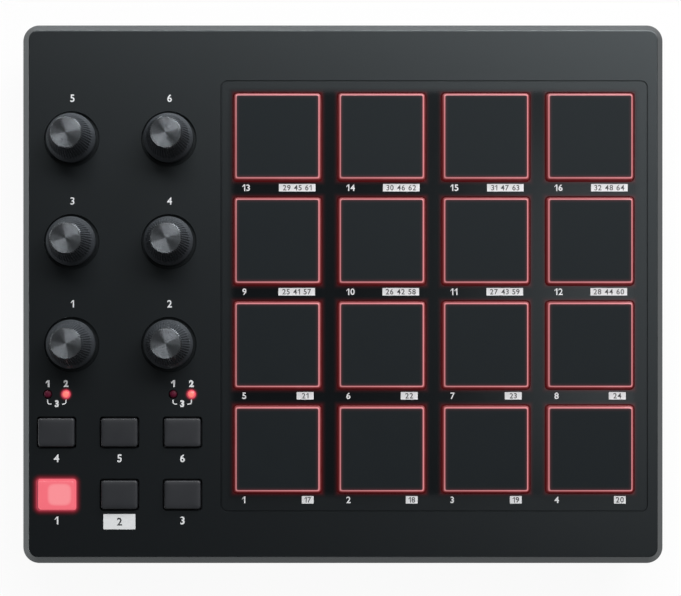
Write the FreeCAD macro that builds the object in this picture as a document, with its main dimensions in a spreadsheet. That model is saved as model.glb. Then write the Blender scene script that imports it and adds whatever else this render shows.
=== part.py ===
import FreeCAD, Part
import math
import os
import re
import Sketcher

# Pad controller: a flat case with sixteen lit pads, six endless knobs, six buttons and four lamps.
# Millimetres. X runs to the right, Y away from the player and Z up. The origin is on the table,
# under the middle of the case.

SIZES = (
    ("case_width", 239.0, "overall width of the case"),
    ("case_depth", 201.0, "overall depth of the case, front to rear"),
    ("panel_height", 26.5, "top panel above the table"),
    ("case_corner", 6.0, "radius of the case's upright corners"),
    ("bevel_width", 2.2, "sloping rim round the top panel, seen from above"),
    ("bevel_drop", 1.7, "how far that rim falls"),
    ("case_wall", 2.4, "side wall of both shells"),
    ("panel_thickness", 2.5, "top panel"),
    ("floor_thickness", 2.2, "floor of the bottom case"),
    ("foot_lift", 2.5, "underside of the bottom case above the table"),
    ("seam_height", 12.0, "joint line between the shells, above the table"),
    ("base_inset", 5.0, "how far the bottom case draws in below the joint line"),
    ("lip_height", 2.0, "locating lip of the bottom case"),
    ("lip_thickness", 1.1, "thickness of that lip"),
    ("lip_clearance", 0.15, "gap round the lip"),
    ("field_x", 33.6, "middle of the pad field, to the right of the case's middle"),
    ("field_y", 0.25, "middle of the pad field, behind the case's middle"),
    ("field_width", 158.2, "moulded line round the pad field, across"),
    ("field_depth", 159.7, "moulded line round the pad field, front to rear"),
    ("field_corner", 1.4, "corner cut of that line"),
    ("field_line_x", 33.8, "middle of the line round the pads, to the right of the case's middle"),
    ("field_line_y", -0.95, "middle of that line, in front of the pads' middle"),
    ("line_width", 0.45, "width of the moulded line"),
    ("line_depth", 0.3, "depth of the moulded line"),
    ("pad_pitch", 38.65, "from one pad to the next"),
    ("pad_window", 33.2, "square window of each pad"),
    ("window_corner", 1.0, "corner cut of that window"),
    ("pad_base", 32.4, "pad where it leaves the panel"),
    ("pad_base_corner", 1.0, "corner cut there"),
    ("pad_face", 30.1, "flat top of the pad"),
    ("pad_height", 2.0, "pad top above the panel"),
    ("pad_upright", 0.2, "upright part of the pad's side above the panel"),
    ("pad_flange", 35.5, "flange that keeps the pad under the panel"),
    ("flange_clip", 2.0, "corner cut of the pad flange"),
    ("flange_thickness", 1.0, "flange of pads and buttons"),
    ("flange_gap", 0.25, "gap between a flange and the panel's underside"),
    ("film_thickness", 0.3, "pressure sensor film"),
    ("film_strip", 30.0, "width of each sensor strip"),
    ("film_spine", 3.6, "width of the strip that joins them"),
    ("pad_travel", 0.8, "how far a pad goes down"),
    ("film_inset", 0.8, "film's edge inside the board's edge"),
    ("board_thickness", 1.6, "circuit boards"),
    ("pad_board_width", 159.4, "pad board across"),
    ("pad_board_depth", 158.6, "pad board front to rear"),
    ("board_frame", 1.6, "rib that frames the pad board"),
    ("board_frame_gap", 0.35, "gap between that rib and the board"),
    ("board_frame_drop", 6.5, "how far that rib hangs below the panel"),
    ("boss_width", 5.6, "screw bosses for the boards"),
    ("pilot_hole", 1.9, "pilot hole of a board screw"),
    ("knob_column_x", -82.8, "middle between the two knob columns"),
    ("knob_pitch_x", 36.1, "between the knob columns"),
    ("knob_middle_y", 19.35, "middle row of knobs"),
    ("knob_pitch_y", 38.2, "between the knob rows"),
    ("bush_hole", 7.8, "hole in the panel for an encoder bush"),
    ("bush_width", 7.0, "encoder bush"),
    ("bush_length", 5.0, "encoder bush above the encoder's body"),
    ("bush_sink", 0.4, "encoder bush below the panel's face"),
    ("encoder_width", 11.7, "encoder body across"),
    ("encoder_depth", 12.5, "encoder body front to rear"),
    ("encoder_height", 6.5, "encoder body above its board"),
    ("encoder_floor", 0.8, "encoder body under its shaft"),
    ("shaft_width", 6.0, "encoder shaft"),
    ("shaft_length", 15.0, "shaft above the encoder's body"),
    ("shaft_flat", 1.5, "from the shaft's axis to its flat"),
    ("flat_length", 9.2, "length of that flat"),
    ("shaft_play", 0.03, "running clearance round the shaft"),
    ("bore_play", 0.02, "clearance round the shaft in the knob"),
    ("bore_end_gap", 0.3, "clearance past the shaft's ends"),
    ("knob_gap", 0.6, "knob above the panel"),
    ("knob_height", 14.5, "knob top above the panel"),
    ("skirt_width", 18.5, "widest part of the knob"),
    ("skirt_top", 4.7, "height of the skirt's shoulder above the panel"),
    ("grip_width", 14.4, "knurled grip at its foot"),
    ("grip_foot", 7.0, "height of the grip's foot above the panel"),
    ("grip_draft", 10.0, "how far the grip's sides lean in, in degrees"),
    ("knob_wall", 1.5, "skirt wall of the knob"),
    ("knob_hollow", 4.2, "depth of the hollow under the knob"),
    ("hub_width", 9.0, "hub inside the knob"),
    ("knurl_depth", 0.4, "depth of each groove"),
    ("button_x", -83.1, "middle column of buttons"),
    ("button_pitch_x", 23.4, "between the button columns"),
    ("button_y", -63.1, "middle between the two button rows"),
    ("button_pitch_y", 23.1, "between the button rows"),
    ("button_width", 13.4, "button cap across"),
    ("button_depth", 10.5, "button cap front to rear"),
    ("button_corner", 0.6, "corner cut of the cap"),
    ("button_gap", 0.6, "gap between a cap and its window"),
    ("button_height", 1.3, "button above the panel"),
    ("button_edge", 0.45, "bevelled edge of the cap"),
    ("button_flange", 1.5, "how far the button's flange reaches past the cap"),
    ("button_travel", 0.8, "how far a button goes down"),
    ("pill_width", 5.0, "contact pill under a button"),
    ("press_gap", 0.3, "what stays free under a pressed pad or button"),
    ("mat_thickness", 1.2, "keypad mat on the control board"),
    ("mat_wall", 1.2, "wall of the mat round each button"),
    ("mat_margin", 6.2, "mat round the outer button windows"),
    ("control_board_width", 65.0, "control board across"),
    ("control_board_front", -84.0, "front edge of the control board"),
    ("control_board_rear", 70.5, "rear edge of the control board"),
    ("control_boss_rise", 47.4, "rear boss of the control board, behind the middle row of knobs"),
    ("lamp_column_x", -83.1, "middle between the two pairs of indicator lamps"),
    ("lamp_y", -37.35, "row of indicator lamps"),
    ("lamp_pair", 6.8, "between the two lamps of a pair"),
    ("lamp_pair_pitch", 46.6, "between the two pairs"),
    ("lamp_width", 3.0, "indicator lamp"),
    ("lamp_hole", 3.3, "hole for it"),
    ("lamp_height", 0.5, "lamp above the panel"),
    ("lamp_dome", 0.9, "height of its rounded end"),
    ("lamp_body", 5.3, "lamp from its collar to its tip"),
    ("lamp_collar", 3.8, "collar of the lamp"),
    ("lamp_collar_height", 1.0, "height of that collar"),
    ("lead_width", 0.5, "lead of a lamp"),
    ("lead_pitch", 2.0, "between the leads of a lamp"),
    ("backlight_width", 1.6, "small lamp on a board"),
    ("backlight_height", 0.6, "height of such a lamp"),
    ("backlight_shift", 4.6, "small lamp beside a button's pill"),
    ("post_x", 109.0, "outer case screws, from the middle"),
    ("post_y", 90.5, "case screws, front and rear of the middle"),
    ("post_width", 7.0, "screw post of the top case"),
    ("column_width", 8.4, "screw column of the bottom case"),
    ("screw_hole", 3.4, "clearance hole of a case screw"),
    ("post_pilot", 2.5, "pilot hole of a case screw"),
    ("head_hole", 6.8, "counterbore of a case screw"),
    ("head_seat", 6.0, "seat of the screw head above the table"),
    ("head_width", 6.0, "case screw head"),
    ("head_height", 2.0, "case screw head"),
    ("screw_length", 13.0, "case screw shank"),
    ("small_head_width", 3.8, "board screw head"),
    ("small_head_height", 1.3, "board screw head"),
    ("board_hole", 2.5, "hole in a board for its screw"),
    ("small_screw_length", 4.4, "board screw shank"),
    ("thread_gap", 0.05, "gap between a screw and its hole"),
    ("screw_end_gap", 0.4, "free hole past a screw's end"),
    ("foot_width", 12.0, "rubber foot"),
    ("foot_recess", 0.6, "recess that the foot is stuck in"),
    ("foot_play", 0.2, "gap round the foot in its recess"),
    ("foot_x", 96.0, "feet, from the middle"),
    ("foot_y", 76.0, "feet, front and rear of the middle"),
    ("foot_edge", 0.7, "bevelled lower edge of a foot"),
    ("main_board_height", 7.5, "underside of the main board above the table"),
    ("main_board_width", 72.0, "main board across"),
    ("main_board_depth", 45.0, "main board front to rear"),
    ("main_board_x", -44.0, "middle of the main board"),
    ("main_board_rear", 95.0, "rear edge of the main board"),
    ("main_column_inset", 4.0, "board columns, in from the board's edges"),
    ("usb_x", -60.0, "middle of the socket"),
    ("usb_width", 12.0, "socket shell across"),
    ("usb_height", 11.0, "socket shell"),
    ("usb_depth", 16.0, "socket shell front to rear"),
    ("usb_setback", 0.6, "socket's mouth inside the case's rear face"),
    ("usb_window_gap", 0.4, "gap between the shell and its window"),
    ("usb_mouth_width", 8.5, "mouth of the socket across"),
    ("usb_mouth_height", 7.8, "mouth of the socket"),
    ("usb_mouth_clip", 1.6, "slanted upper corners of the mouth"),
    ("usb_mouth_depth", 12.0, "depth of the mouth"),
    ("usb_tongue_width", 5.6, "contact tongue across"),
    ("usb_tongue_height", 3.2, "contact tongue"),
    ("usb_tongue_length", 10.4, "contact tongue"),
    ("lock_x", -30.0, "middle of the lock slot"),
    ("lock_z", 17.0, "middle of the lock slot above the table"),
    ("lock_width", 7.0, "lock slot across"),
    ("lock_height", 3.0, "lock slot"),
    ("lock_plate_width", 18.0, "steel plate behind the slot, across"),
    ("lock_plate_height", 8.0, "that plate, up and down"),
    ("lock_plate_thickness", 1.5, "that plate"),
    ("rib_height", 2.6, "stiffening ribs on the floor"),
    ("rib_thickness", 1.4, "thickness of those ribs"),
    ("rib_pitch", 54.0, "between those ribs"),
    ("chip_width", 10.0, "processor chip"),
    ("chip_height", 1.4, "processor chip"),
    ("ribbon_thickness", 0.8, "flat cable"),
    ("ribbon_width", 14.0, "flat cable"),
    ("ribbon_stub", 1.5, "straight end of a flat cable"),
    ("ribbon_reach", 9.0, "how far a flat cable runs to the rear"),
    ("pad_ribbon_x", -22.0, "cable of the pad board"),
    ("control_ribbon_x", -66.0, "cable of the control board"),
    ("pad_ribbon_y", 60.0, "where the pad board's cable starts"),
    ("control_ribbon_y", 62.0, "where the control board's cable starts"),
)

document = FreeCAD.newDocument("PadController")
sheet = document.addObject("Spreadsheet::Sheet", "sizes")
for row, (alias, number, note) in enumerate(SIZES, start=1):
    sheet.set(f"A{row}", note)
    sheet.set(f"B{row}", str(number))
    sheet.setAlias(f"B{row}", alias)
document.recompute()
ALIASES = {alias for alias, number, note in SIZES}

# Heights above the table that several pieces share
PANEL_UNDERSIDE = "(panel_height - panel_thickness)"
FLANGE_TOP = f"({PANEL_UNDERSIDE} - flange_gap)"
FLANGE_FOOT = f"({FLANGE_TOP} - flange_thickness)"
FILM_TOP = f"({FLANGE_FOOT} - pad_travel - press_gap)"
PAD_BOARD_TOP = f"({FILM_TOP} - film_thickness)"
PAD_BOARD_FOOT = f"({PAD_BOARD_TOP} - board_thickness)"
ENCODER_TOP = "(panel_height - bush_sink - bush_length)"
CONTROL_BOARD_TOP = f"({ENCODER_TOP} - encoder_height)"
CONTROL_BOARD_FOOT = f"({CONTROL_BOARD_TOP} - board_thickness)"
MAIN_BOARD_TOP = "(main_board_height + board_thickness)"
FLOOR_TOP = "(foot_lift + floor_thickness)"
FLOOR_MIDDLE = "(foot_lift + floor_thickness / 2)"
PILL_FOOT = f"({CONTROL_BOARD_TOP} + button_travel + press_gap)"
KNOB_FOOT = "(panel_height + knob_gap)"


def bound(expression):
    """The expression with every size's name led by the sheet's own name."""
    def led(word):
        return f"sizes.{word[0]}" if word[0] in ALIASES else word[0]

    return re.sub(r"[a-z_]+", led, expression)


def value(expression):
    """What the expression comes to with the sheet's numbers."""
    return float(sheet.evalExpression(bound(expression)))


def new_body(name):
    """An empty body, whose label names the sub-part."""
    body = document.addObject("PartDesign::Body", name)
    body.Label = name
    body.AllowCompound = True
    return body


def move(body, x="0", y="0", z="0"):
    """Place a body by expressions."""
    for axis, expression in zip("xyz", (x, y, z)):
        body.setExpression(f"Placement.Base.{axis}", bound(expression))


def origin_feature(body, role):
    return next(feature for feature in body.Origin.OriginFeatures if feature.Role == role)


def new_sketch(body, name, height="0", plane="XY_Plane"):
    """A sketch on one of the body's own planes, moved along the plane's normal."""
    sketch = body.newObject("Sketcher::SketchObject", name)
    sketch.AttachmentSupport = [(origin_feature(body, plane), "")]
    sketch.MapMode = "FlatFace"
    sketch.setExpression("AttachmentOffset.Base.z", bound(height))
    return sketch


def dimension(sketch, *dimensions):
    """Dimensions of the sketch, bound to the sheet: each an expression, a kind and what it measures."""
    made = [Sketcher.Constraint(kind, *where, value(expression)) for expression, kind, *where in dimensions]
    for index, (expression, *_) in zip(sketch.addConstraint(made), dimensions):
        name = f"size_{index}"
        sketch.renameConstraint(index, name)
        sketch.setExpression(f"Constraints.{name}", bound(expression))


def at(geometry, point, x, y):
    """The two dimensions that hold one point of a sketch."""
    return [(x, "DistanceX", geometry, point), (y, "DistanceY", geometry, point)]


def add_outline(sketch, points):
    """A closed outline of straight lines through the given pairs of expressions."""
    corners = [FreeCAD.Vector(value(x), value(y), 0) for x, y in points]
    edges = [Part.LineSegment(start, end) for start, end in zip(corners, corners[1:] + corners[:1])]
    lines = sketch.addGeometry(edges, False)
    followers = lines[1:] + lines[:1]
    sketch.addConstraint([Sketcher.Constraint("Coincident", line, 2, following, 1)
                          for line, following in zip(lines, followers)])
    dimension(sketch, *[held for line, (x, y) in zip(lines, points) for held in at(line, 1, x, y)])


def add_rectangle(sketch, width, depth, x="0", y="0"):
    left, right = f"{x} - ({width}) / 2", f"{x} + ({width}) / 2"
    front, rear = f"{y} - ({depth}) / 2", f"{y} + ({depth}) / 2"
    add_outline(sketch, [(left, front), (right, front), (right, rear), (left, rear)])


def add_rounded_rectangle(sketch, width, depth, corner, x="0", y="0"):
    """Four lines joined by four tangent arcs, round a middle at x, y."""
    first = len(sketch.Geometry)
    radius = value(corner)
    half_x = value(f"({width}) / 2") - radius
    half_y = value(f"({depth}) / 2") - radius
    middle = FreeCAD.Vector(value(x), value(y), 0)
    for quarter in range(4):
        turn = FreeCAD.Rotation(FreeCAD.Vector(0, 0, 1), 90 * quarter)
        along, across = (half_x, half_y) if quarter % 2 == 0 else (half_y, half_x)
        start = middle + turn.multVec(FreeCAD.Vector(-along, -across - radius, 0))
        end = middle + turn.multVec(FreeCAD.Vector(along, -across - radius, 0))
        centre = middle + turn.multVec(FreeCAD.Vector(along, -across, 0))
        circle = Part.Circle(centre, FreeCAD.Vector(0, 0, 1), radius)
        turned = math.radians(90 * quarter)
        sketch.addGeometry(Part.LineSegment(start, end), False)
        sketch.addGeometry(Part.ArcOfCircle(circle, turned - math.pi / 2, turned), False)
    for quarter in range(4):
        line = first + 2 * quarter
        arc = line + 1
        next_line = first + (2 * quarter + 2) % 8
        sketch.addConstraint(Sketcher.Constraint("Tangent", line, 2, arc, 1))
        sketch.addConstraint(Sketcher.Constraint("Tangent", arc, 2, next_line, 1))
        sketch.addConstraint(Sketcher.Constraint("Horizontal" if quarter % 2 == 0 else "Vertical", line))
        if quarter:
            sketch.addConstraint(Sketcher.Constraint("Equal", first + 1, arc))
    reach_x, reach_y = f"(({width}) / 2 - ({corner}))", f"(({depth}) / 2 - ({corner}))"
    dimension(sketch, (corner, "Radius", first + 1),
              *at(first + 3, 3, f"{x} + {reach_x}", f"{y} + {reach_y}"),
              *at(first + 7, 3, f"{x} - {reach_x}", f"{y} - {reach_y}"))


def add_clipped_rectangle(sketch, width, depth, clip, x="0", y="0"):
    """A rectangle with its corners cut off at 45 degrees."""
    far_x, far_y = f"({width}) / 2", f"({depth}) / 2"
    near_x, near_y = f"(({width}) / 2 - ({clip}))", f"(({depth}) / 2 - ({clip}))"
    offsets = [("-", near_x, "-", far_y), ("+", near_x, "-", far_y), ("+", far_x, "-", near_y),
               ("+", far_x, "+", near_y), ("+", near_x, "+", far_y), ("-", near_x, "+", far_y),
               ("-", far_x, "+", near_y), ("-", far_x, "-", near_y)]
    add_outline(sketch, [(f"{x} {side} {along}", f"{y} {end} {across}")
                         for side, along, end, across in offsets])


def add_polygon(sketch, sides, width, x="0", y="0"):
    """A regular polygon, width across its flats, for small round forms that are kept light."""
    reach = 0.5 / math.cos(math.pi / sides)
    points = []
    for index in range(sides):
        angle = math.pi * (2 * index + 1) / sides
        along, across = reach * math.cos(angle), reach * math.sin(angle)
        points.append((f"{x} + {along:.6f} * ({width})", f"{y} + {across:.6f} * ({width})"))
    add_outline(sketch, points)


def add_circle(sketch, width, x="0", y="0"):
    centre = FreeCAD.Vector(value(x), value(y), 0)
    index = sketch.addGeometry(Part.Circle(centre, FreeCAD.Vector(0, 0, 1), value(width) / 2), False)
    dimension(sketch, (width, "Diameter", index), *at(index, 3, x, y))


def add_flatted_circle(sketch, radius, flat):
    """A circle round the origin, cut by an upright chord at x = flat."""
    opening = math.acos(value(flat) / value(radius))
    circle = Part.Circle(FreeCAD.Vector(), FreeCAD.Vector(0, 0, 1), value(radius))
    arc = sketch.addGeometry(Part.ArcOfCircle(circle, opening, 2 * math.pi - opening), False)
    ends = [FreeCAD.Vector(value(flat), side * value(radius) * math.sin(opening), 0) for side in (-1, 1)]
    chord = sketch.addGeometry(Part.LineSegment(*ends), False)
    sketch.addConstraint(Sketcher.Constraint("Coincident", arc, 3, -1, 1))
    sketch.addConstraint(Sketcher.Constraint("Coincident", arc, 2, chord, 1))
    sketch.addConstraint(Sketcher.Constraint("Coincident", arc, 1, chord, 2))
    sketch.addConstraint(Sketcher.Constraint("Vertical", chord))
    dimension(sketch, (radius, "Radius", arc), (flat, "DistanceX", chord, 1))


def extrude(body, name, sketch, length, backwards=False, cut=False):
    """A pad upwards, or a pocket downwards; backwards turns either round."""
    feature = body.newObject("PartDesign::Pocket" if cut else "PartDesign::Pad", name)
    feature.Profile = sketch
    feature.Reversed = backwards
    feature.setExpression("Length", bound(length))
    return feature


def loft(body, name, lower, *upper, cut=False):
    """A straight-sided loft from one sketch through the others."""
    feature = body.newObject("PartDesign::SubtractiveLoft" if cut else "PartDesign::AdditiveLoft", name)
    feature.Profile = lower
    feature.Sections = list(upper)
    feature.Ruled = True
    return feature


def bevel(body, name, feature, inward, along, side=max):
    """A sloping edge round the body's highest faces, or its lowest with side=min.

    The edge draws in by one distance and reaches along the body's side by the other.
    """
    document.recompute()
    heights = [face.CenterOfMass.z for face in feature.Shape.Faces]
    level = side(heights)
    chosen = [f"Face{index}" for index, height in enumerate(heights, start=1)
              if abs(height - level) < SAME_HEIGHT]
    chamfer = body.newObject("PartDesign::Chamfer", name)
    chamfer.Base = (feature, chosen)
    chamfer.ChamferType = "Two distances"
    chamfer.setExpression("Size", bound(along))
    chamfer.setExpression("Size2", bound(inward))
    body.Tip = chamfer
    return chamfer


def lean(body, name, feature, angle, neutral, lowest="0"):
    """Lean the upright faces above the lowest height inwards; they turn about the neutral height."""
    document.recompute()
    plane = body.newObject("PartDesign::Plane", f"{name}_level")
    plane.AttachmentSupport = [(origin_feature(body, "XY_Plane"), "")]
    plane.MapMode = "FlatFace"
    plane.setExpression("AttachmentOffset.Base.z", bound(neutral))
    upright = []
    for index, face in enumerate(feature.Shape.Faces, start=1):
        if abs(face.normalAt(0, 0).z) < NEARLY_UPRIGHT and face.CenterOfMass.z > value(lowest):
            upright.append(f"Face{index}")
    draft = body.newObject("PartDesign::Draft", name)
    draft.Base = (feature, upright)
    draft.NeutralPlane = (plane, [""])
    draft.setExpression("Angle", bound(angle))
    body.Tip = draft
    return draft


def repeat(body, name, originals, along, spacing, count, second=None):
    """Copies of features in a row; second gives the axis, the spacing and the count of more rows."""
    feature = body.newObject("PartDesign::LinearPattern", name)
    feature.Originals = originals
    feature.Direction = (origin_feature(body, f"{along}_Axis"), [""])
    feature.Mode = "Spacing"
    feature.Occurrences = count
    feature.setExpression("Offset", bound(spacing))
    if second:
        second_along, second_spacing, second_count = second
        feature.Direction2 = (origin_feature(body, f"{second_along}_Axis"), [""])
        feature.Mode2 = "Spacing"
        feature.Occurrences2 = second_count
        feature.Spacings2 = [EVEN_SPACING] * (second_count - 1)
        feature.setExpression("Offset2", bound(second_spacing))
    body.Tip = feature
    return feature


# The number that tells a pattern to use its one spacing everywhere
EVEN_SPACING = -1

# Faces whose middles are this close in height are at one level
SAME_HEIGHT = 1e-6

# The upright part of a face's normal below which the face counts as upright
NEARLY_UPRIGHT = 0.01

# Crests round a knob's grip, and as many sides round its skirt
KNURLS = 24

# Facets of the small round forms: screws, other forms inside the case, and those that show
SCREW_SIDES = 6
HIDDEN_SIDES = 8
SEEN_SIDES = 12


def pad_place(column, row):
    """Middle of a pad, with columns from the left and rows from the front, both from 0."""
    return f"(field_x + {column - 1.5} * pad_pitch)", f"(field_y + {row - 1.5} * pad_pitch)"


def knob_place(column, row):
    """Axis of a knob, with columns from the left and rows from the front, both from 0."""
    return f"(knob_column_x + {column - 0.5} * knob_pitch_x)", f"(knob_middle_y + {row - 1} * knob_pitch_y)"


def button_place(column, row):
    """Middle of a button, with columns from the left and rows from the front, both from 0."""
    return f"(button_x + {column - 1} * button_pitch_x)", f"(button_y + {row - 0.5} * button_pitch_y)"


# Places that repeat, each an x and a y expression
PAD_BOSSES = [(f"(field_x + {i} * pad_pitch)", f"(field_y + {j} * pad_pitch)")
              for i, j in ((-1, -1), (1, -1), (0, 0), (-1, 1), (1, 1))]
CONTROL_BOSSES = [
    ("knob_column_x", "(knob_middle_y + control_boss_rise)"),
    ("knob_column_x", "knob_middle_y"),
    ("knob_column_x", "lamp_y"),
    ("(button_x - button_pitch_x / 2)", "button_y"),
    ("(button_x + button_pitch_x / 2)", "button_y"),
]
MAIN_BOARD_Y = "(main_board_rear - main_board_depth / 2)"
MAIN_COLUMN_X = "(main_board_width / 2 - main_column_inset)"
MAIN_COLUMN_Y = "(main_board_depth / 2 - main_column_inset)"
MAIN_COLUMNS = [(f"(main_board_x + {i} * {MAIN_COLUMN_X})", f"({MAIN_BOARD_Y} + {j} * {MAIN_COLUMN_Y})")
                for i in (-1, 1) for j in (-1, 1)]
CASE_SCREWS = [(f"{i} * post_x", f"{j} * post_y") for i in (-1, 0, 1) for j in (-1, 1)]
LAMP_PLACES = [(f"(lamp_column_x + {i} * lamp_pair_pitch / 2 + {j} * lamp_pair / 2)", "lamp_y")
               for i in (-1, 1) for j in (-1, 1)]


def rounds(body, name, height, width, places, sides=HIDDEN_SIDES):
    """One sketch with a light round form at each place."""
    sketch = new_sketch(body, name, height)
    for x, y in places:
        add_polygon(sketch, sides, width, x, y)
    return sketch


def add_shell_outline(sketch, inset):
    """The case's outline drawn in by a distance, with cut corners."""
    add_clipped_rectangle(sketch, f"case_width - 2 * {inset}", f"case_depth - 2 * {inset}",
                          f"case_corner - {inset} / 2")


def shell_outline(body, name, height, inset):
    sketch = new_sketch(body, name, height)
    add_shell_outline(sketch, inset)
    return sketch


def clipped(body, name, height, width, depth, clip, x="0", y="0"):
    """One sketch with a rectangle whose corners are cut."""
    sketch = new_sketch(body, name, height)
    add_clipped_rectangle(sketch, width, depth, clip, x, y)
    return sketch


def top_case():
    """Moulded shell: bevelled panel with its windows, walls, rebate for the lip, bosses, posts and ribs."""
    body = new_body("top_case")
    bevel_foot = "(panel_height - bevel_drop)"
    outer = new_sketch(body, "outer_wall", "seam_height")
    add_rounded_rectangle(outer, "case_width", "case_depth", "case_corner")
    extrude(body, "walls", outer, f"{bevel_foot} - seam_height")

    bevel_lower = new_sketch(body, "bevel_lower", bevel_foot)
    add_rounded_rectangle(bevel_lower, "case_width", "case_depth", "case_corner")
    bevel_upper = new_sketch(body, "bevel_upper", "panel_height")
    add_rounded_rectangle(bevel_upper, "case_width - 2 * bevel_width", "case_depth - 2 * bevel_width",
                          "case_corner - bevel_width")
    loft(body, "bevel", bevel_lower, bevel_upper)

    inner = shell_outline(body, "inner_wall", "seam_height", "case_wall")
    extrude(body, "hollow", inner, f"{PANEL_UNDERSIDE} - seam_height", backwards=True, cut=True)
    rebate_inset = "(case_wall - lip_thickness - lip_clearance)"
    rebate = shell_outline(body, "rebate_outline", "seam_height", rebate_inset)
    extrude(body, "rebate", rebate, "lip_height + 2 * lip_clearance", backwards=True, cut=True)

    frame = new_sketch(body, "board_frame_outline", PANEL_UNDERSIDE)
    for extra in ("2 * board_frame_gap", "2 * (board_frame_gap + board_frame)"):
        add_rectangle(frame, f"pad_board_width + {extra}", f"pad_board_depth + {extra}",
                      "field_x", "field_y")
    extrude(body, "board_frame", frame, "board_frame_drop", backwards=True)

    for name, places, foot in (("pad_board", PAD_BOSSES, PAD_BOARD_TOP),
                               ("control_board", CONTROL_BOSSES, CONTROL_BOARD_TOP)):
        bosses = rounds(body, f"{name}_boss_outlines", foot, "boss_width", places)
        extrude(body, f"{name}_bosses", bosses, f"{PANEL_UNDERSIDE} - {foot}")
        pilots = rounds(body, f"{name}_pilot_outlines", foot, "pilot_hole", places, SCREW_SIDES)
        extrude(body, f"{name}_pilots", pilots, "small_screw_length - board_thickness + screw_end_gap",
                backwards=True, cut=True)

    post = extrude(body, "post", rounds(body, "post_outline", "seam_height", "post_width", CASE_SCREWS[:1]),
                   f"{PANEL_UNDERSIDE} - seam_height")
    pilot_outline = rounds(body, "post_pilot_outline", "seam_height", "post_pilot", CASE_SCREWS[:1],
                           SCREW_SIDES)
    post_pilot = extrude(body, "post_pilot", pilot_outline,
                         "head_seat + screw_length - seam_height + screw_end_gap", backwards=True, cut=True)
    repeat(body, "posts", [post, post_pilot], "X", "post_x", 3, ("Y", "2 * post_y", 2))

    window = clipped(body, "window_outline", "panel_height", "pad_window", "pad_window", "window_corner",
                     *pad_place(0, 0))
    first_window = extrude(body, "pad_window", window, "panel_thickness", cut=True)
    repeat(body, "pad_windows", [first_window], "X", "pad_pitch", 4, ("Y", "pad_pitch", 4))

    line = new_sketch(body, "field_line_outline", "panel_height")
    for side in ("+", "-"):
        add_clipped_rectangle(line, f"field_width {side} line_width", f"field_depth {side} line_width",
                              "field_corner", "field_line_x", "field_line_y")
    extrude(body, "field_line", line, "line_depth", cut=True)

    bush_hole = rounds(body, "bush_hole_outline", "panel_height", "bush_hole", [knob_place(0, 0)])
    first_hole = extrude(body, "bush_hole", bush_hole, "panel_thickness", cut=True)
    repeat(body, "bush_holes", [first_hole], "X", "knob_pitch_x", 2, ("Y", "knob_pitch_y", 3))

    button_window = clipped(body, "button_window_outline", "panel_height", "button_width + 2 * button_gap",
                            "button_depth + 2 * button_gap", "button_corner", *button_place(0, 0))
    first_button = extrude(body, "button_window", button_window, "panel_thickness", cut=True)
    repeat(body, "button_windows", [first_button], "X", "button_pitch_x", 3, ("Y", "button_pitch_y", 2))

    lamp_hole = rounds(body, "lamp_hole_outline", "panel_height", "lamp_hole", LAMP_PLACES[:1], SEEN_SIDES)
    first_lamp_hole = extrude(body, "lamp_hole", lamp_hole, "panel_thickness", cut=True)
    repeat(body, "lamp_holes", [first_lamp_hole], "X", "lamp_pair", 2, ("X", "lamp_pair_pitch", 2))

    usb_notch = new_sketch(body, "usb_notch_outline", "seam_height")
    add_rectangle(usb_notch, "usb_width + 2 * usb_window_gap", "3 * case_wall", "usb_x", "case_depth / 2")
    extrude(body, "usb_notch", usb_notch, f"{MAIN_BOARD_TOP} + usb_height + usb_window_gap - seam_height",
            backwards=True, cut=True)

    lock_slot = new_sketch(body, "lock_slot_outline", "-case_depth / 2", "XZ_Plane")
    add_rectangle(lock_slot, "lock_width", "lock_height", "lock_x", "lock_z")
    extrude(body, "lock_slot", lock_slot, "case_wall", backwards=True, cut=True)
    return body


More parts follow.
